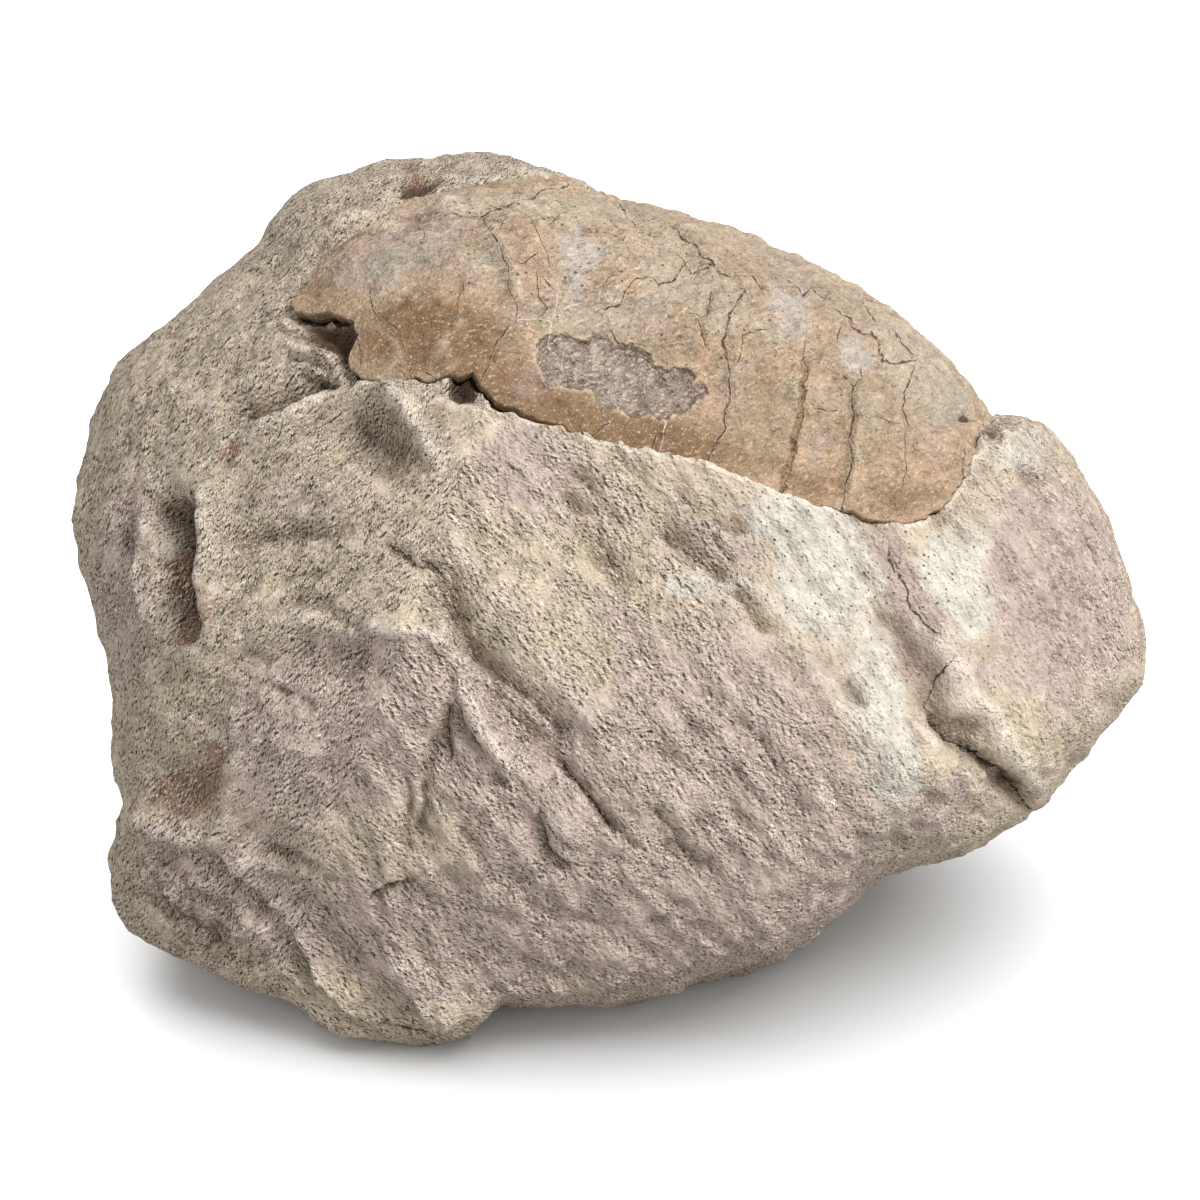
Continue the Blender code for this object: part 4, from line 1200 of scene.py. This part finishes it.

# %% [markdown]
# ## Fit the frame and make the meshes
# The finer surface could stand a hair outside the solids. Its size is compared with the frame's box,
# and if it is larger along an axis it is drawn in by that share, about the middle of the base. The
# base itself is flat at zero, so upwards only the top counts. Each vertex also carries numbers for
# the materials: pigments, distances to cracks, crests, worn places and places of painted shade, each
# under its own name.

# %% Make the two pieces
all_points = np.concatenate([rock_points, bone_points])
frame_low, frame_high = np.array(cad_low) / MM, np.array(cad_high) / MM
shrink = np.minimum(1, frame_high / all_points.max(axis=0))
shrink[:2] = np.minimum(shrink[:2], frame_low[:2] / all_points.min(axis=0)[:2])

rock_numbers = {
    "crack_side": rock_signed,
    "crack_near": rock_near,
    # How far each vertex stands above its surroundings, narrow and broad: the material paints shade into the
    # hollows and a highlight onto the crests with these
    "crest": about_half(rock_relief, ROCK_COLUMNS, 0.22, 3, 4),
    "broad_crest": about_half(rock_relief, ROCK_COLUMNS, 0.12, 9, 12),
    "speckled": np.clip(clouds(rock_drawn, SPECKLED), 0, 1) * rock_front,
    "slope": left_slope(rock_drawn),
    # Painted shade in the deep hollows and on a few faces turned from the lamp
    "dark": clouds(meander(rock_drawn, 65), PAINTED_SHADE_CLOUDS) * rock_front,
    "calm": clouds(meander(rock_drawn, 67), CALM_AREAS) * rock_front,
}
rock_numbers |= pigment_numbers(ROCK_PIGMENTS, ROCK_SPREAD, rock_direction, rock_bare, rock_drawn)
rock = closed_surface("siltstone_block", rock_points * shrink, ROCK_COLUMNS, rock_numbers)

bone_numbers |= {
    # Crests of the bone: the material paints shade into its hollows and a highlight onto its crests with
    # these
    "crest": about_half(outer_height, BONE_COLUMNS, 0.45, 3, 3),
    "worn": clouds(bone_drawn, WORN_TOP),
    # Painted shade on the underside of the rim
    "under": np.clip(bone_depth / RIM_SHADE_DEPTH, 0, 1),
    # Painted shade inside the holes in the bone
    "dark": clouds(bone_drawn, BONE_PAINTED_SHADE),
}
bone_numbers |= pigment_numbers(BONE_PIGMENTS, BONE_SPREAD, bone_direction, bone_bare, bone_drawn)
bone = closed_surface("bone_carapace", bone_points * shrink, BONE_COLUMNS, bone_numbers)
print("drawn in by", (1 - shrink).round(4))

# %% [markdown]
# ## Helpers for materials
# A material is a graph of nodes. Small helpers keep the graph readable: each adds a node or two, fills
# the sockets, and returns the socket that the next step needs.


# %% Node helpers
def fill(tree, node, inputs):
    """Fills a node's sockets with values or with other sockets."""
    for key, value in inputs.items():
        if isinstance(value, bpy.types.NodeSocket):
            tree.links.new(value, node.inputs[key])
        else:
            node.inputs[key].default_value = value


def add_node(tree, kind, inputs, **settings):
    """Adds a node, sets its own settings and fills its sockets."""
    node = tree.nodes.new(kind)
    for name, value in settings.items():
        setattr(node, name, value)
    fill(tree, node, inputs)
    return node


def maths(tree, operation, *values, clamp=False):
    """The result of one arithmetic node."""
    inputs = dict(enumerate(values))
    return add_node(tree, "ShaderNodeMath", inputs, operation=operation, use_clamp=clamp).outputs[0]


def times(tree, first, second, clamp=False):
    """One value times another."""
    return maths(tree, "MULTIPLY", first, second, clamp=clamp)


def linear(tree, value, gain, base):
    """The value times a gain, plus a base."""
    return maths(tree, "MULTIPLY_ADD", value, gain, base)


def blend_colours(tree, share, first, second, kind="MIX"):
    """Goes from the first colour to the second as share goes from 0 to 1."""
    inputs = {0: share, 6: first, 7: second}
    return add_node(tree, "ShaderNodeMix", inputs, data_type="RGBA", blend_type=kind).outputs[2]


def smooth_step(tree, value, low, high, first=0.0, last=1.0):
    """Eases from first to last as the value goes from low to high."""
    inputs = {"Value": value, 1: low, 2: high, 3: first, 4: last}
    return add_node(tree, "ShaderNodeMapRange", inputs, interpolation_type="SMOOTHSTEP").outputs[0]


def noise(tree, vector, size_mm, detail, roughness=0.55):
    """Noise from 0 to 1 whose swells are about size_mm apart."""
    inputs = {"Vector": vector, "Scale": 1 / (size_mm * MM), "Detail": detail, "Roughness": roughness}
    return add_node(tree, "ShaderNodeTexNoise", inputs).outputs[0]


def swing(tree, vector, size_mm, detail, roughness=0.55):
    """Noise that swings about zero."""
    return maths(tree, "SUBTRACT", noise(tree, vector, size_mm, detail, roughness), 0.5)


def stored(tree, name):
    """The number that the vertices carry under this name."""
    return add_node(tree, "ShaderNodeAttribute", {}, attribute_name=name).outputs["Fac"]


def new_group(name, inputs, outputs):
    """An empty node group with named sockets, and its input and output nodes."""
    group = bpy.data.node_groups.new(name, "ShaderNodeTree")
    for label, kind, value in inputs:
        socket = group.interface.new_socket(name=label, in_out="INPUT", socket_type=kind)
        if value is not None:
            socket.default_value = value
    for label, kind in outputs:
        group.interface.new_socket(name=label, in_out="OUTPUT", socket_type=kind)
    return group, group.nodes.new("NodeGroupInput").outputs, group.nodes.new("NodeGroupOutput")


def use_group(tree, group, inputs):
    """Places a node group in a material and returns its outputs."""
    return add_node(tree, "ShaderNodeGroup", inputs, node_tree=group).outputs


FLOAT = "NodeSocketFloat"
VECTOR = "NodeSocketVector"
COLOR = "NodeSocketColor"
print("node helpers ready")

# %% [markdown]
# ## Grit
# Rock and bone both have grains about half a millimetre across, and dark specks of manganese. One
# node group makes them for both. The size of the grains, and how close and how common the specks are,
# are inputs, so each material places the group with its own values.

# %% The grit group
# Size in millimetres of the soft changes of tone
TONE_SIZE = 6.25
# How much wider the coarse grains are than the fine ones
COARSER = 3.3
# A speck fills this share of its cell, plus up to as much again by chance, with a soft rim.
SPECK_SHARE = 0.12
SPECK_CHANCE = 0.14
SPECK_RIM = 0.035


def make_grit():
    """Height is two sizes of noise; specks are the hearts of random cells, kept where chance allows."""
    sizes = [("Grain", FLOAT, 0.8), ("Spacing", FLOAT, 3.0), ("Amount", FLOAT, 0.5)]
    results = [("Height", FLOAT), ("Tone", FLOAT), ("Specks", FLOAT)]
    group, given, out = new_group("grit", [("Vector", VECTOR, None)] + sizes, results)
    vector = given["Vector"]
    fine_scale = maths(group, "DIVIDE", 1 / MM, given["Grain"])
    coarse_scale = maths(group, "DIVIDE", fine_scale, COARSER)
    fine = {"Vector": vector, "Scale": fine_scale, "Detail": 1.0}
    coarse = {"Vector": vector, "Scale": coarse_scale, "Detail": 3.0}
    small, large = [add_node(group, "ShaderNodeTexNoise", each).outputs[0] for each in (fine, coarse)]
    height = maths(group, "SUBTRACT", linear(group, small, 0.5, large), 0.75)
    cell_inputs = {"Vector": vector, "Scale": maths(group, "DIVIDE", 1 / MM, given["Spacing"])}
    cell = add_node(group, "ShaderNodeTexVoronoi", cell_inputs).outputs
    chance = add_node(group, "ShaderNodeSeparateColor", {0: cell["Color"]}).outputs
    size = linear(group, chance[0], SPECK_CHANCE, SPECK_SHARE)
    heart = smooth_step(group, maths(group, "SUBTRACT", size, cell["Distance"]), 0.0, SPECK_RIM)
    specks = times(group, heart, maths(group, "LESS_THAN", chance[1], given["Amount"]))
    tone = swing(group, vector, TONE_SIZE, 4.0, 0.7)
    fill(group, out, {"Height": height, "Tone": tone, "Specks": specks})
    return group


grit = make_grit()
print("group", grit.name, "has", len(grit.nodes), "nodes")

# %% [markdown]
# ## Chips
# Close to, the rock is a mass of small chips, a millimetre or two long, that all lie one way, as the
# grain does. Noise on squeezed space gives their height. The upper side of each chip gets a painted
# highlight and its underside painted shade, so the group also compares the noise a little above with
# the noise a little below. Where it falls upwards there is painted highlight, and where it rises there
# is painted shade.


# %% The chips group
def make_chips():
    """Noise squeezed across a direction of the drawing plane; painted shade and highlight come from its
    slope.
    """
    sizes = [("Turn", FLOAT, -0.9), ("Long", FLOAT, 3.0), ("Wide", FLOAT, 1.2)]
    results = [("Height", FLOAT), ("Dark", FLOAT), ("Light", FLOAT)]
    group, given, out = new_group("chips", [("Vector", VECTOR, None)] + sizes, results)
    long, wide = given["Long"], given["Wide"]
    upright = {"Vector": given["Vector"], "Rotation": (math.radians(90 - PLANE_LEAN), 0, 0)}
    flat = add_node(group, "ShaderNodeMapping", upright, vector_type="TEXTURE").outputs[0]
    turned = add_node(group, "ShaderNodeCombineXYZ", {2: given["Turn"]}).outputs[0]
    chip_size = add_node(group, "ShaderNodeCombineXYZ", {0: long, 1: wide, 2: wide}).outputs[0]
    squeeze = {"Vector": flat, "Rotation": turned, "Scale": chip_size}
    squeezed = add_node(group, "ShaderNodeMapping", squeeze, vector_type="TEXTURE").outputs[0]
    below = add_node(group, "ShaderNodeVectorMath", {0: squeezed, 1: (0, -0.5 * MM, 0)}).outputs[0]
    here = noise(group, squeezed, 1.0, 2.0, 0.6)
    rise = maths(group, "SUBTRACT", here, noise(group, below, 1.0, 2.0, 0.6))
    dark = smooth_step(group, rise, 0.08, 0.2)
    light = smooth_step(group, rise, -0.09, -0.2)
    fill(group, out, {"Height": maths(group, "SUBTRACT", here, 0.5), "Dark": dark, "Light": light})
    return group


chips = make_chips()
print("group", chips.name, "has", len(chips.nodes), "nodes")

# %% [markdown]
# ## Hairline cracks
# This group turns the stored distances into a thin line. The signed distance is nudged by noise, so
# the line wanders, and its width varies along its way. The plain distance hides false lines, where
# the nearest crack changes from one to another.

# %% The hairline group
HAIRLINE_INPUTS = [
    ("Vector", VECTOR, None), ("Side", FLOAT, 9.0), ("Near", FLOAT, 9.0), ("Reach", FLOAT, 1.8),
    ("Wander", FLOAT, 1.8), ("Width", FLOAT, 0.45), ("Breaks", FLOAT, 2.2),
]
THINNEST = 0.02


def make_hairline():
    """1 on the line, easing to 0 at the width, only where the plain distance is small."""
    group, given, out = new_group("hairline", HAIRLINE_INPUTS, [("Line", FLOAT), ("Beside", FLOAT)])
    side = linear(group, swing(group, given["Vector"], 1.6, 1.5), given["Wander"], given["Side"])
    uneven = linear(group, swing(group, given["Vector"], 1.3, 1.0), given["Breaks"], given["Width"])
    width = maths(group, "MAXIMUM", uneven, THINNEST)
    widths_away = maths(group, "DIVIDE", maths(group, "ABSOLUTE", side), width)
    close = smooth_step(group, given["Near"], times(group, given["Reach"], 0.5), given["Reach"], 1.0, 0.0)
    for name, low, high in (("Line", 0.6, 1.2), ("Beside", 1.1, 3.2)):
        fill(group, out, {name: times(group, smooth_step(group, widths_away, low, high, 1.0, 0.0), close)})
    return group


hairline = make_hairline()
print("group", hairline.name, "has", len(hairline.nodes), "nodes")

# %% [markdown]
# ## Mottled blends
# A cloud of pigment shouldn't fade like mist. Its border is ragged, as if dabbed on. This group adds
# noise to the pigment's strength and then eases it through a threshold, which gives such a border.
# Every cloud of a material shares one noise, so the material makes it once and hands it in.

# %% The mottle group
MOTTLE_INPUTS = [
    ("Strength", FLOAT, 0.0), ("Noise", FLOAT, 0.0), ("Ragged", FLOAT, 0.8), ("Soft", FLOAT, 0.2),
    ("First", COLOR, None), ("Second", COLOR, None),
]
THRESHOLD = 0.45


def make_mottle():
    """Goes from one colour to another where strength plus noise passes a little under a half."""
    group, given, out = new_group("mottle", MOTTLE_INPUTS, [("Color", COLOR)])
    moved = linear(group, given["Noise"], given["Ragged"], given["Strength"])
    low, high = [maths(group, way, THRESHOLD, given["Soft"]) for way in ("SUBTRACT", "ADD")]
    share = smooth_step(group, moved, low, high)
    fill(group, out, {"Color": blend_colours(group, share, given["First"], given["Second"])})
    return group


mottle = make_mottle()
print("group", mottle.name, "has", len(mottle.nodes), "nodes")

# %% [markdown]
# ## Layers of colour
# Both materials are built in the same order. Pigments come first, then coats of colour one over
# another, each with a mask that says how much of it shows. Depths in millimetres are added up and
# handed to one Bump node.


# %% Steps that both materials share
def srgb(red, green, blue):
    """A colour given as on a screen, 0 to 255, turned to the linear values that light uses."""
    screen = np.array([red, green, blue]) / 255
    linear_light = np.where(screen <= 0.04045, screen / 12.92, ((screen + 0.055) / 1.055) ** 2.4)
    return (*linear_light.tolist(), 1.0)


def new_material(name):
    """A material with an empty Principled surface."""
    material = bpy.data.materials.new(name)
    material.use_nodes = True
    return material, material.node_tree, material.node_tree.nodes["Principled BSDF"]


def paint_over(tree, colour, coats):
    """Lays coats over a colour, one after another: how much of each shows, and its colour."""
    for share, coat in coats:
        colour = blend_colours(tree, share, colour, coat)
    return colour


def lay_pigments(tree, colour, border, palette, names, **settings):
    """Blends in one pigment after another, each with its stored strength and a ragged border."""
    for name in names:
        inputs = {"Strength": stored(tree, name), "Noise": border, "First": colour, "Second": palette[name]}
        colour = use_group(tree, mottle, inputs | settings)["Color"]
    return colour


def shade_grains(tree, colour, grains, by_height, base):
    """Multiplies a colour by a grey: base plus the grains' tone, and a share of their height as painted
    shade in pits and painted highlight on tops.
    """
    grey = linear(tree, grains["Height"], by_height, maths(tree, "ADD", grains["Tone"], base))
    greys = add_node(tree, "ShaderNodeCombineColor", {0: grey, 1: grey, 2: grey}).outputs[0]
    return blend_colours(tree, 1.0, colour, greys, "MULTIPLY")


def crack_lines(tree, place, kind, **settings):
    """The hairline group on the stored distances to one kind of line."""
    inputs = {"Vector": place, "Side": stored(tree, kind + "_side"), "Near": stored(tree, kind + "_near")}
    return use_group(tree, hairline, inputs | settings)


def add_depths(tree, height, depths):
    """Adds masks to a height, each times its own depth in millimetres."""
    for mask, depth in depths:
        height = linear(tree, mask, depth, height)
    return height


def finish_surface(tree, surface, colour, height, roughness, shine):
    """Hands colour, roughness, shine and a bump in millimetres to the Principled node."""
    bump_inputs = {"Height": height, "Distance": MM, "Strength": 1.0, "Filter Width": 0.6}
    bump = add_node(tree, "ShaderNodeBump", bump_inputs).outputs["Normal"]
    looks = {"Base Color": colour, "Normal": bump, "Roughness": roughness, "Specular IOR Level": shine}
    fill(tree, surface, looks)


print("pure white turns into", srgb(255, 255, 255))

# %% [markdown]
# ## The siltstone
# The material lays the pigments over each other, paints shade into the hollows and a highlight onto
# the crests, then adds chips with painted shade and highlight, grain that also paints shade into its
# pits, painted shade in the dark hollows, specks and cracks. The chips are strongest where a broad
# noise says so, and weaker in the calm areas. They slant down to the right over the front, and up to
# the right on the left slope.

# %% The siltstone material
STONE = {
    "beige": srgb(188, 172, 151),
    "pinkish": srgb(180, 161, 151),
    "greenish": srgb(198, 192, 180),
    "yellowish": srgb(184, 169, 145),
    "rusty": srgb(158, 124, 104),
    "speck": srgb(64, 53, 45),
    "crack": srgb(66, 52, 42),
    # The next four colours are painted light: shade in the deep hollows, shade under the chips, shade in the
    # hollows, and a highlight on the crests and on the chips' upper sides
    "dark": srgb(92, 69, 54),
    "chip_shade": srgb(72, 58, 47),
    "hollow": srgb(128, 111, 95),
    "crest": srgb(226, 214, 199),
}
# Length, width and depth of the chips, in millimetres, and how far each size turns from the first
CHIP_SIZES = [(2.4, 1.05, 1.8, 0.0), (1.25, 0.6, 0.9, 0.55)]
# Turn of the chips on the front, and how much further round they lie on the left slope
CHIP_TURN = math.radians(-54)
SLOPE_TURN = math.radians(98)


def chip_strength(tree, place, slope):
    """Where the rock is rough: broad noise, less in the calm areas and a third more on the slope."""
    broad = smooth_step(tree, noise(tree, place, 9.0, 3.0, 0.65), 0.36, 0.54, 0.45, 1.2)
    calmed = times(tree, broad, smooth_step(tree, stored(tree, "calm"), 0.0, 0.9, 1.0, 0.4))
    return times(tree, calmed, linear(tree, slope, 0.35, 1.0))


def add_chips(tree, place, colour, height):
    """Adds chips of every size to the height, with painted shade under them and a painted highlight on their
    upper sides in the colour.
    """
    slope = stored(tree, "slope")
    turn = linear(tree, maths(tree, "GREATER_THAN", slope, 0.5), SLOPE_TURN, CHIP_TURN)
    strength = chip_strength(tree, place, slope)
    dark, light = 0.0, 0.0
    for long, wide, depth, aside in CHIP_SIZES:
        inputs = {"Vector": place, "Turn": maths(tree, "ADD", turn, aside), "Long": long, "Wide": wide}
        chip = use_group(tree, chips, inputs)
        height = linear(tree, chip["Height"], times(tree, strength, depth), height)
        dark = linear(tree, chip["Dark"], strength, dark)
        light = linear(tree, chip["Light"], strength, light)
    # Painted shade under each chip and a painted highlight on its upper side
    coats = [
        (times(tree, dark, 0.8, clamp=True), STONE["chip_shade"]),
        (times(tree, light, 0.7, clamp=True), STONE["crest"]),
    ]
    return paint_over(tree, colour, coats), height


def make_siltstone():
    """Pigments, painted shade and highlight, chips, specks and cracks over a gritty bump."""
    material, tree, surface = new_material("siltstone")
    place = add_node(tree, "ShaderNodeTexCoord", {}).outputs["Object"]
    border = swing(tree, place, 8.0, 4.0, 0.72)
    names = ["yellowish", "greenish", "pinkish", "rusty"]
    colour = lay_pigments(tree, STONE["beige"], border, STONE, names)
    # Painted shade in the narrow and broad hollows, and a painted highlight on the crests
    crest = stored(tree, "crest")
    coats = [
        (smooth_step(tree, crest, 0.48, 0.12, 0.0, 0.45), STONE["hollow"]),
        (smooth_step(tree, crest, 0.55, 0.9, 0.0, 0.5), STONE["crest"]),
        (smooth_step(tree, stored(tree, "broad_crest"), 0.42, 0.05, 0.0, 0.4), STONE["hollow"]),
    ]
    colour = paint_over(tree, colour, coats)
    grains = use_group(tree, grit, {"Vector": place, "Grain": 0.7, "Spacing": 1.6, "Amount": 0.5})
    colour, height = add_chips(tree, place, colour, times(tree, grains["Height"], 0.8))
    # Painted shade in the grains' pits and a painted highlight on their tops
    colour = shade_grains(tree, colour, grains, 0.45, 1.05)
    # Painted shade in the deep hollows and on faces turned from the lamp, with a ragged border
    dark = linear(tree, swing(tree, place, 3.0, 3.0, 0.7), 1.7, stored(tree, "dark"))
    specks = times(tree, grains["Specks"], linear(tree, stored(tree, "speckled"), 0.6, 0.3))
    crack = crack_lines(tree, place, "crack")["Line"]
    coats = [
        (smooth_step(tree, dark, 0.25, 0.95, 0.0, 0.9), STONE["dark"]),
        (specks, STONE["speck"]),
        (times(tree, crack, 0.85), STONE["crack"]),
    ]
    colour = paint_over(tree, colour, coats)
    height = add_depths(tree, height, [(specks, -0.35), (crack, -0.7)])
    finish_surface(tree, surface, colour, height, 0.9, 0.25)
    return material


siltstone = make_siltstone()
rock.data.materials.append(siltstone)
print("siltstone has", len(siltstone.node_tree.nodes), "nodes")

# %% [markdown]
# ## The bone
# Fossil bone is smoother than rock and a little silky. Its colours come from its own pigments, its
# cracks and sutures from the stored lines, and the stripped patches from the stored distance to their
# borders, so that they have a crisp edge. A faint net of crazing runs over the plates.

# %% The bone material
BONE = {
    "tan": srgb(158, 137, 112),
    "peach": srgb(176, 147, 121),
    "deep tan": srgb(126, 98, 70),
    "chalky": srgb(174, 158, 138),
    "pinkish": srgb(168, 147, 133),
    "greenish": srgb(158, 151, 135),
    "stripped": srgb(144, 130, 123),
    "pale skin": srgb(180, 168, 158),
    "sand": srgb(150, 122, 92),
    "vein": srgb(214, 202, 184),
    "crack": srgb(100, 74, 52),
    # Painted shade inside the holes
    "dark": srgb(74, 54, 40),
    "speck": srgb(80, 60, 46),
    # Painted highlight on crests and on the chips' upper sides, also the colour of the pale dots and of the
    # pale rim beside the cracks
    "crest": srgb(206, 188, 164),
    # Painted shade in hollows, on the rim's underside and under the chips, also the colour of the crazing
    # lines
    "hollow": srgb(108, 87, 67),
}
# Size in millimetres of the plates' patches of tan and peach, and of the net of crazing
PATCH_SIZE = 17.0
CRAZE_SIZE = 7.0


def add_crazing(tree, place):
    """A net of fine lines between random cells, where a broad noise allows it."""
    inputs = {"Vector": place, "Scale": 1 / (CRAZE_SIZE * MM)}
    net = add_node(tree, "ShaderNodeTexVoronoi", inputs, feature="DISTANCE_TO_EDGE").outputs["Distance"]
    some = smooth_step(tree, noise(tree, place, 14.0, 2.0), 0.5, 0.6)
    return times(tree, smooth_step(tree, net, 0.012, 0.035, 1.0, 0.0), some)


def make_bone():
    """Pigments, patches, sutures and crazing over a fine bump."""
    material, tree, surface = new_material("fossil_bone")
    place = add_node(tree, "ShaderNodeTexCoord", {}).outputs["Object"]
    border = swing(tree, place, 8.0, 4.0, 0.72)
    edge = swing(tree, place, 2.2, 3.0, 0.7)
    grains = use_group(tree, grit, {"Vector": place, "Grain": 0.7, "Spacing": 2.2, "Amount": 0.36})
    crest, worn = stored(tree, "crest"), stored(tree, "worn")

    # Plates, worn and stripped skin, painted shade in the hollows and on the bone's underside, and a painted
    # highlight on the crests
    patchy = smooth_step(tree, noise(tree, place, PATCH_SIZE, 3.0, 0.6), 0.46, 0.58, 0.0, 0.8)
    colour = blend_colours(tree, patchy, BONE["tan"], BONE["peach"])
    names = ["deep tan", "pinkish", "greenish", "chalky"]
    colour = lay_pigments(tree, colour, border, BONE, names, Soft=0.35, Ragged=1.1)
    patch = smooth_step(tree, linear(tree, edge, 3.0, stored(tree, "patch")), -0.5, 0.6)
    pale = smooth_step(tree, linear(tree, edge, 4.0, stored(tree, "pale")), -1.0, 1.0, 0.0, 0.9)
    dusty = smooth_step(tree, border, -0.02, 0.14, 0.0, 0.7)
    coats = [
        (pale, BONE["pale skin"]),
        (times(tree, patch, 0.9), blend_colours(tree, dusty, BONE["stripped"], BONE["pale skin"])),
        (smooth_step(tree, crest, 0.5, 0.15, 0.0, 0.6), BONE["hollow"]),
        (smooth_step(tree, crest, 0.5, 0.85, 0.0, 0.6), BONE["crest"]),
        (times(tree, stored(tree, "under"), 0.7), BONE["hollow"]),
    ]
    colour = paint_over(tree, colour, coats)

    # Chips with painted shade under them and a painted highlight on top, pale dots, then painted shade and
    # highlight by the grains' height
    chip = use_group(tree, chips, {"Vector": place, "Turn": math.radians(30), "Long": 1.6, "Wide": 1.1})
    chip_share = linear(tree, patch, 0.35, linear(tree, worn, 0.25, 0.42))
    dots = use_group(tree, grit, {"Vector": place, "Spacing": 1.3, "Amount": 0.2})["Specks"]
    coats = [
        (times(tree, chip["Dark"], chip_share), BONE["hollow"]),
        (times(tree, chip["Light"], chip_share), BONE["crest"]),
        (times(tree, dots, 0.7), BONE["crest"]),
    ]
    colour = shade_grains(tree, paint_over(tree, colour, coats), grains, 0.8, 1.0)

    # Crazing, painted shade inside the holes, specks, the sandy suture, cracks and veins
    crazing = add_crazing(tree, place)
    # Painted shade inside the holes, with a ragged border
    dark = smooth_step(tree, maths(tree, "ADD", edge, stored(tree, "dark")), 0.45, 0.65, 0.0, 0.9)
    specks = times(tree, grains["Specks"], linear(tree, worn, 0.5, 0.35))
    sandy_way = maths(tree, "ABSOLUTE", linear(tree, edge, 2.6, stored(tree, "sandy_side")))
    sandy = smooth_step(tree, sandy_way, SANDY_HALF_WIDTH * 0.8, SANDY_HALF_WIDTH, 1.0, 0.0)
    in_sand = smooth_step(tree, grains["Height"], -0.16, 0.04)
    crack = crack_lines(tree, place, "crack", Wander=0.9, Width=0.4, Breaks=1.8)
    vein = crack_lines(tree, place, "vein", Wander=0.5, Width=0.4, Breaks=1.8)["Line"]
    beads = smooth_step(tree, noise(tree, place, 2.6, 2.0), 0.36, 0.6, 0.5, 1.0)
    crack_line = times(tree, crack["Line"], beads)
    coats = [
        (times(tree, crazing, 0.25), BONE["hollow"]),
        (dark, BONE["dark"]),
        (specks, BONE["speck"]),
        (sandy, blend_colours(tree, in_sand, BONE["crack"], BONE["sand"])),
        (times(tree, crack["Beside"], 0.4), BONE["crest"]),
        (crack_line, BONE["crack"]),
        (times(tree, vein, 0.85), BONE["vein"]),
    ]
    colour = paint_over(tree, colour, coats)

    height = times(tree, grains["Height"], linear(tree, patch, 0.5, 1.0))
    height = linear(tree, chip["Height"], chip_share, height)
    depths = [(specks, -0.3), (patch, -0.5), (crazing, -0.08), (crack_line, -0.7), (sandy, -0.5)]
    height = add_depths(tree, height, depths)
    roughness = linear(tree, patch, 0.15, linear(tree, grains["Tone"], 0.3, 0.7))
    finish_surface(tree, surface, colour, height, roughness, 0.35)
    return material


fossil_bone = make_bone()
bone.data.materials.append(fossil_bone)
print("fossil_bone has", len(fossil_bone.node_tree.nodes), "nodes")

# %% [markdown]
# ## Hand the pieces to the frame
# Each fine surface stands for one plain solid, which it hides. It rides on the body that the solid belongs
# to.

# %% Pieces and bodies
for piece, node, slot in ((rock, "matrix", "siltstone"), (bone, "carapace", "fossil_bone")):
    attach(piece, "root")
    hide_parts(node)
    print(piece.name, "stands for", node)

# %% [markdown]
# ## Floor and light
# The specimen stands on a plain white floor in soft studio light. A bright even world fills the
# shadows. A lamp high on the right and in front gives the stone its shape. A second, very broad lamp
# lights only the floor, so that the shadow under the block is soft. The view transform is the plain
# one, so that a white floor stays white.

# %% Floor, world and lamps
FLOOR_HALF = 6000.0
WORLD_STRENGTH = 0.74
# Seen directly the floor is white. To the stone it counts as a mid grey card, so that the undersides
# keep their shade.
FLOOR_SEEN = (0.98, 0.99, 1.0, 1)
FLOOR_CARD = (0.42, 0.42, 0.42, 1)
floor_corners = np.array([(-1, -1, 0), (1, -1, 0), (1, 1, 0), (-1, 1, 0)]) * FLOOR_HALF * MM
floor_mesh = bpy.data.meshes.new("floor")
floor_mesh.from_pydata(floor_corners.tolist(), [], [(0, 1, 2, 3)])
floor = bpy.data.objects.new("floor", floor_mesh)
bpy.context.scene.collection.objects.link(floor)
floor_material, floor_tree, floor_surface = new_material("pale floor")
seen = add_node(floor_tree, "ShaderNodeLightPath", {}).outputs["Is Camera Ray"]
floor_colour = blend_colours(floor_tree, seen, FLOOR_CARD, FLOOR_SEEN)
fill(floor_tree, floor_surface, {"Base Color": floor_colour, "Roughness": 0.7})
floor_mesh.materials.append(floor_material)

world = bpy.data.worlds.new("studio")
world.use_nodes = True
background = {"Color": (1.0, 1.0, 1.0, 1), "Strength": WORLD_STRENGTH}
fill(world.node_tree, world.node_tree.nodes["Background"], background)
bpy.context.scene.world = world

# Each lamp shines on its own things only: name, what it lights, direction, strength, spread in degrees.
LAMPS = [
    ("stone lamp", [rock, bone], (0.70, -0.38, 0.97), 2.95, 26),
    ("floor lamp", [floor], (0.13, 0.24, 1.0), 3.8, 90),
]
for name, lit, direction, energy, spread in LAMPS:
    lamp_data = bpy.data.lights.new(name, "SUN")
    lamp_data.energy = energy
    lamp_data.angle = math.radians(spread)
    lamp = bpy.data.objects.new(name, lamp_data)
    aim = unit(np.array(direction))
    lamp.rotation_euler = (0, math.acos(aim[2]), math.atan2(aim[1], aim[0]))
    bpy.context.scene.collection.objects.link(lamp)
    lamp.light_linking.receiver_collection = bpy.data.collections.new(name)
    for thing in lit:
        lamp.light_linking.receiver_collection.objects.link(thing)
bpy.context.scene.view_settings.view_transform = "Standard"
print("lamps:", [entry[0] for entry in LAMPS])
